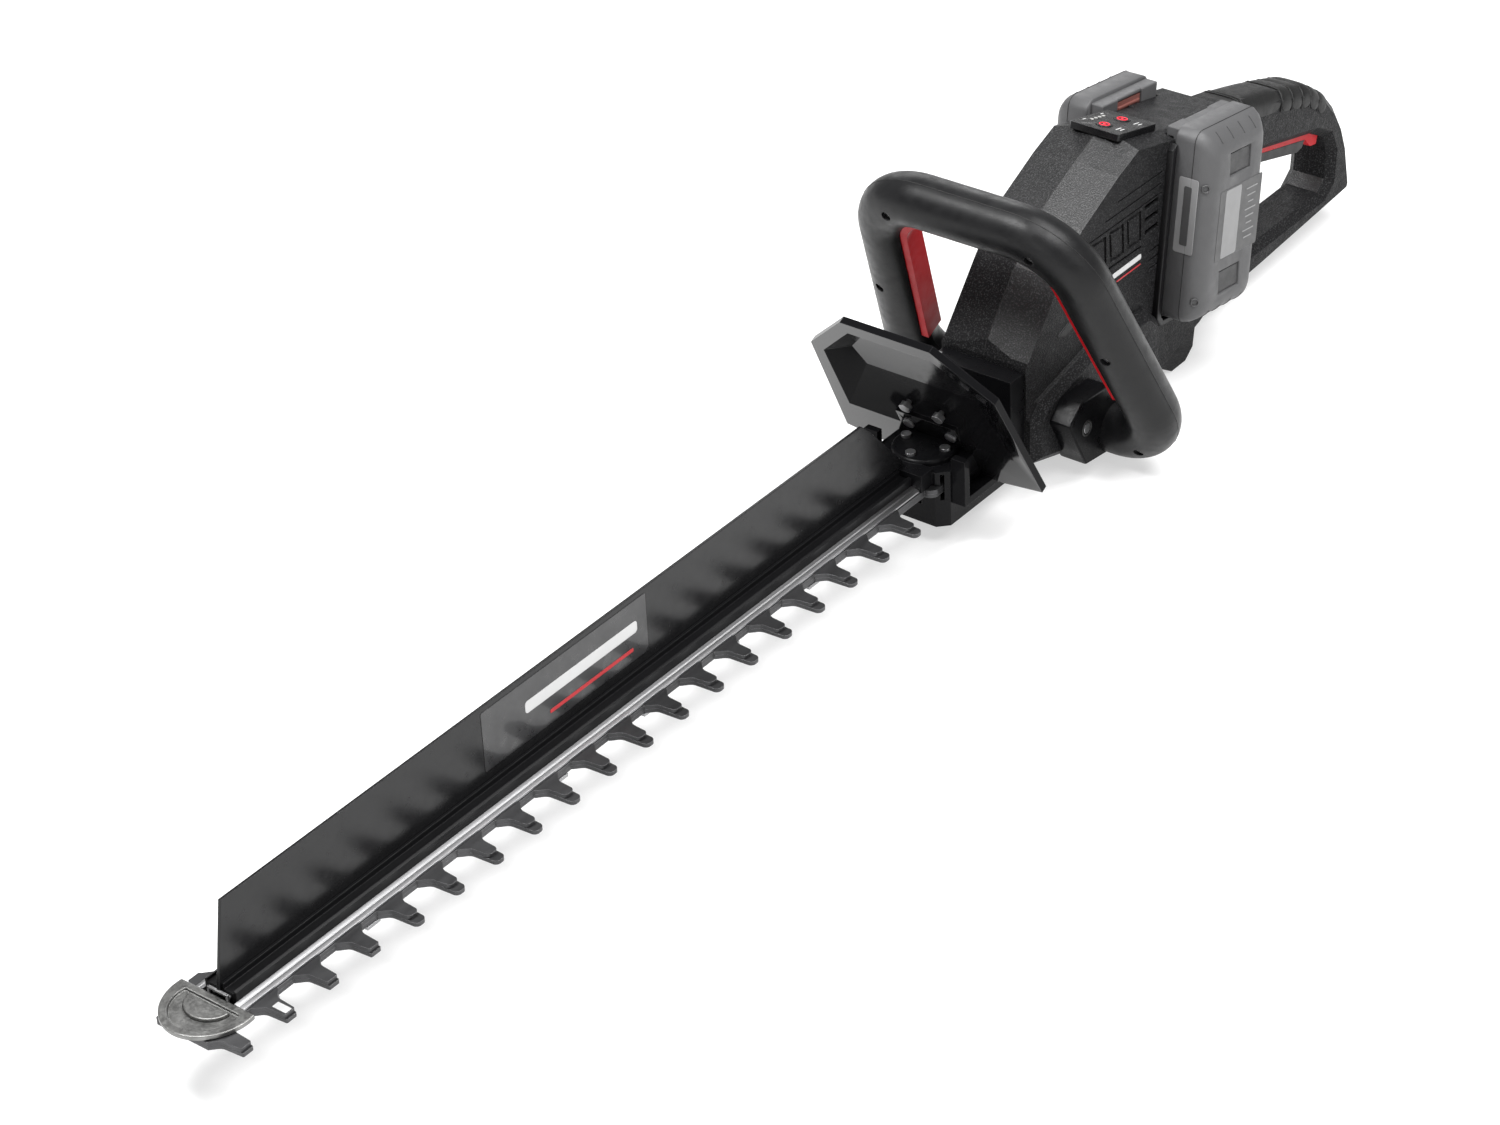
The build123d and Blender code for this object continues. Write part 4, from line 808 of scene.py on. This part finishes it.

# =====================================================================================
# cast tip with its raised middle, a ground tooth with a painted glint, and the bright end of the rail
# =====================================================================================
MOUND_X = 569.0
MOUND_LONG = 12.0
MOUND_HALF = 13.2
MOUND_STEPS = 24
TOOTH = (550.0, 27.6, 38.15)  # on top of the second tooth from the tip
RAIL_END_X = 562.2
# the rail's end frame: centre from the plane, height of the centre, width, height
RAIL_END = ((-6.0, 41.6, 1.2, 6.0), (6.0, 41.6, 1.2, 6.0), (0.0, 44.0, 13.2, 1.2))

mound = []
for n in range(MOUND_STEPS + 1):
    turn = math.pi * (-0.5 + n / MOUND_STEPS)
    mound.append(at(MOUND_X + MOUND_LONG * math.cos(turn), MOUND_HALF * math.sin(turn), 39.4))
slab("tip_mound", mound, UP * (1.9 * MM), MATERIALS["tip_metal"], "housing", 1.3)
# bright ground face of the tooth: bare steel with a painted glint on it
plate("ground_tooth_glint", at(*TOOTH), FORWARD, LEFT, (4.2, 8.6), 0.2, 0.4, DETAIL["ground_face_glint"],
      "upper_blade", 0)
for k, (y, z, w, h) in enumerate(RAIL_END):
    plate(f"rail_end{k}", at(RAIL_END_X, y, z), LEFT, UP, (w, h), 1.4, 0.4, MATERIALS["strip_aluminium"],
          "housing")

# =====================================================================================
# plain marks on the fin and on the body's sides
# =====================================================================================
MARK_THICK = 0.25
# name, place of the centre along and above, size, corner radius and finish, then how far a mark of the
# fin starts from its face
FIN_MARKS = (("fin_decal", 309, 71.0, (128, 35.0), 1.0, "decal_black", -0.05),
             ("fin_stripe", 297, 73.0, (88, 7.0), 2.0, "print_white", 0.1),
             ("fin_line", 290, 60.5, (66, 2.2), 0.8, "print_red", 0.1))
SIDE_MARKS = (("side_mark", -160, 96.5, (30, 3.4), 1.2, "print_white"),
              ("side_line", -162, 91.6, (25, 0.9), 0.4, "print_red"))
for side, tag in SIDES:
    across = FORWARD * -side
    for name, x, z, size, radius, finish, proud in FIN_MARKS:
        plate(f"{name}_{tag}", at(x, side * FIN_FACE + side * proud, z), across, UP, size, MARK_THICK, radius,
              DETAIL[finish], "housing", 0)
    for name, x, z, size, radius, finish in SIDE_MARKS:
        plate(f"{name}_{tag}", at(x, side * (BODY_HALF - 0.1), z), across, UP, size, MARK_THICK, radius,
              DETAIL[finish], "housing", 0)
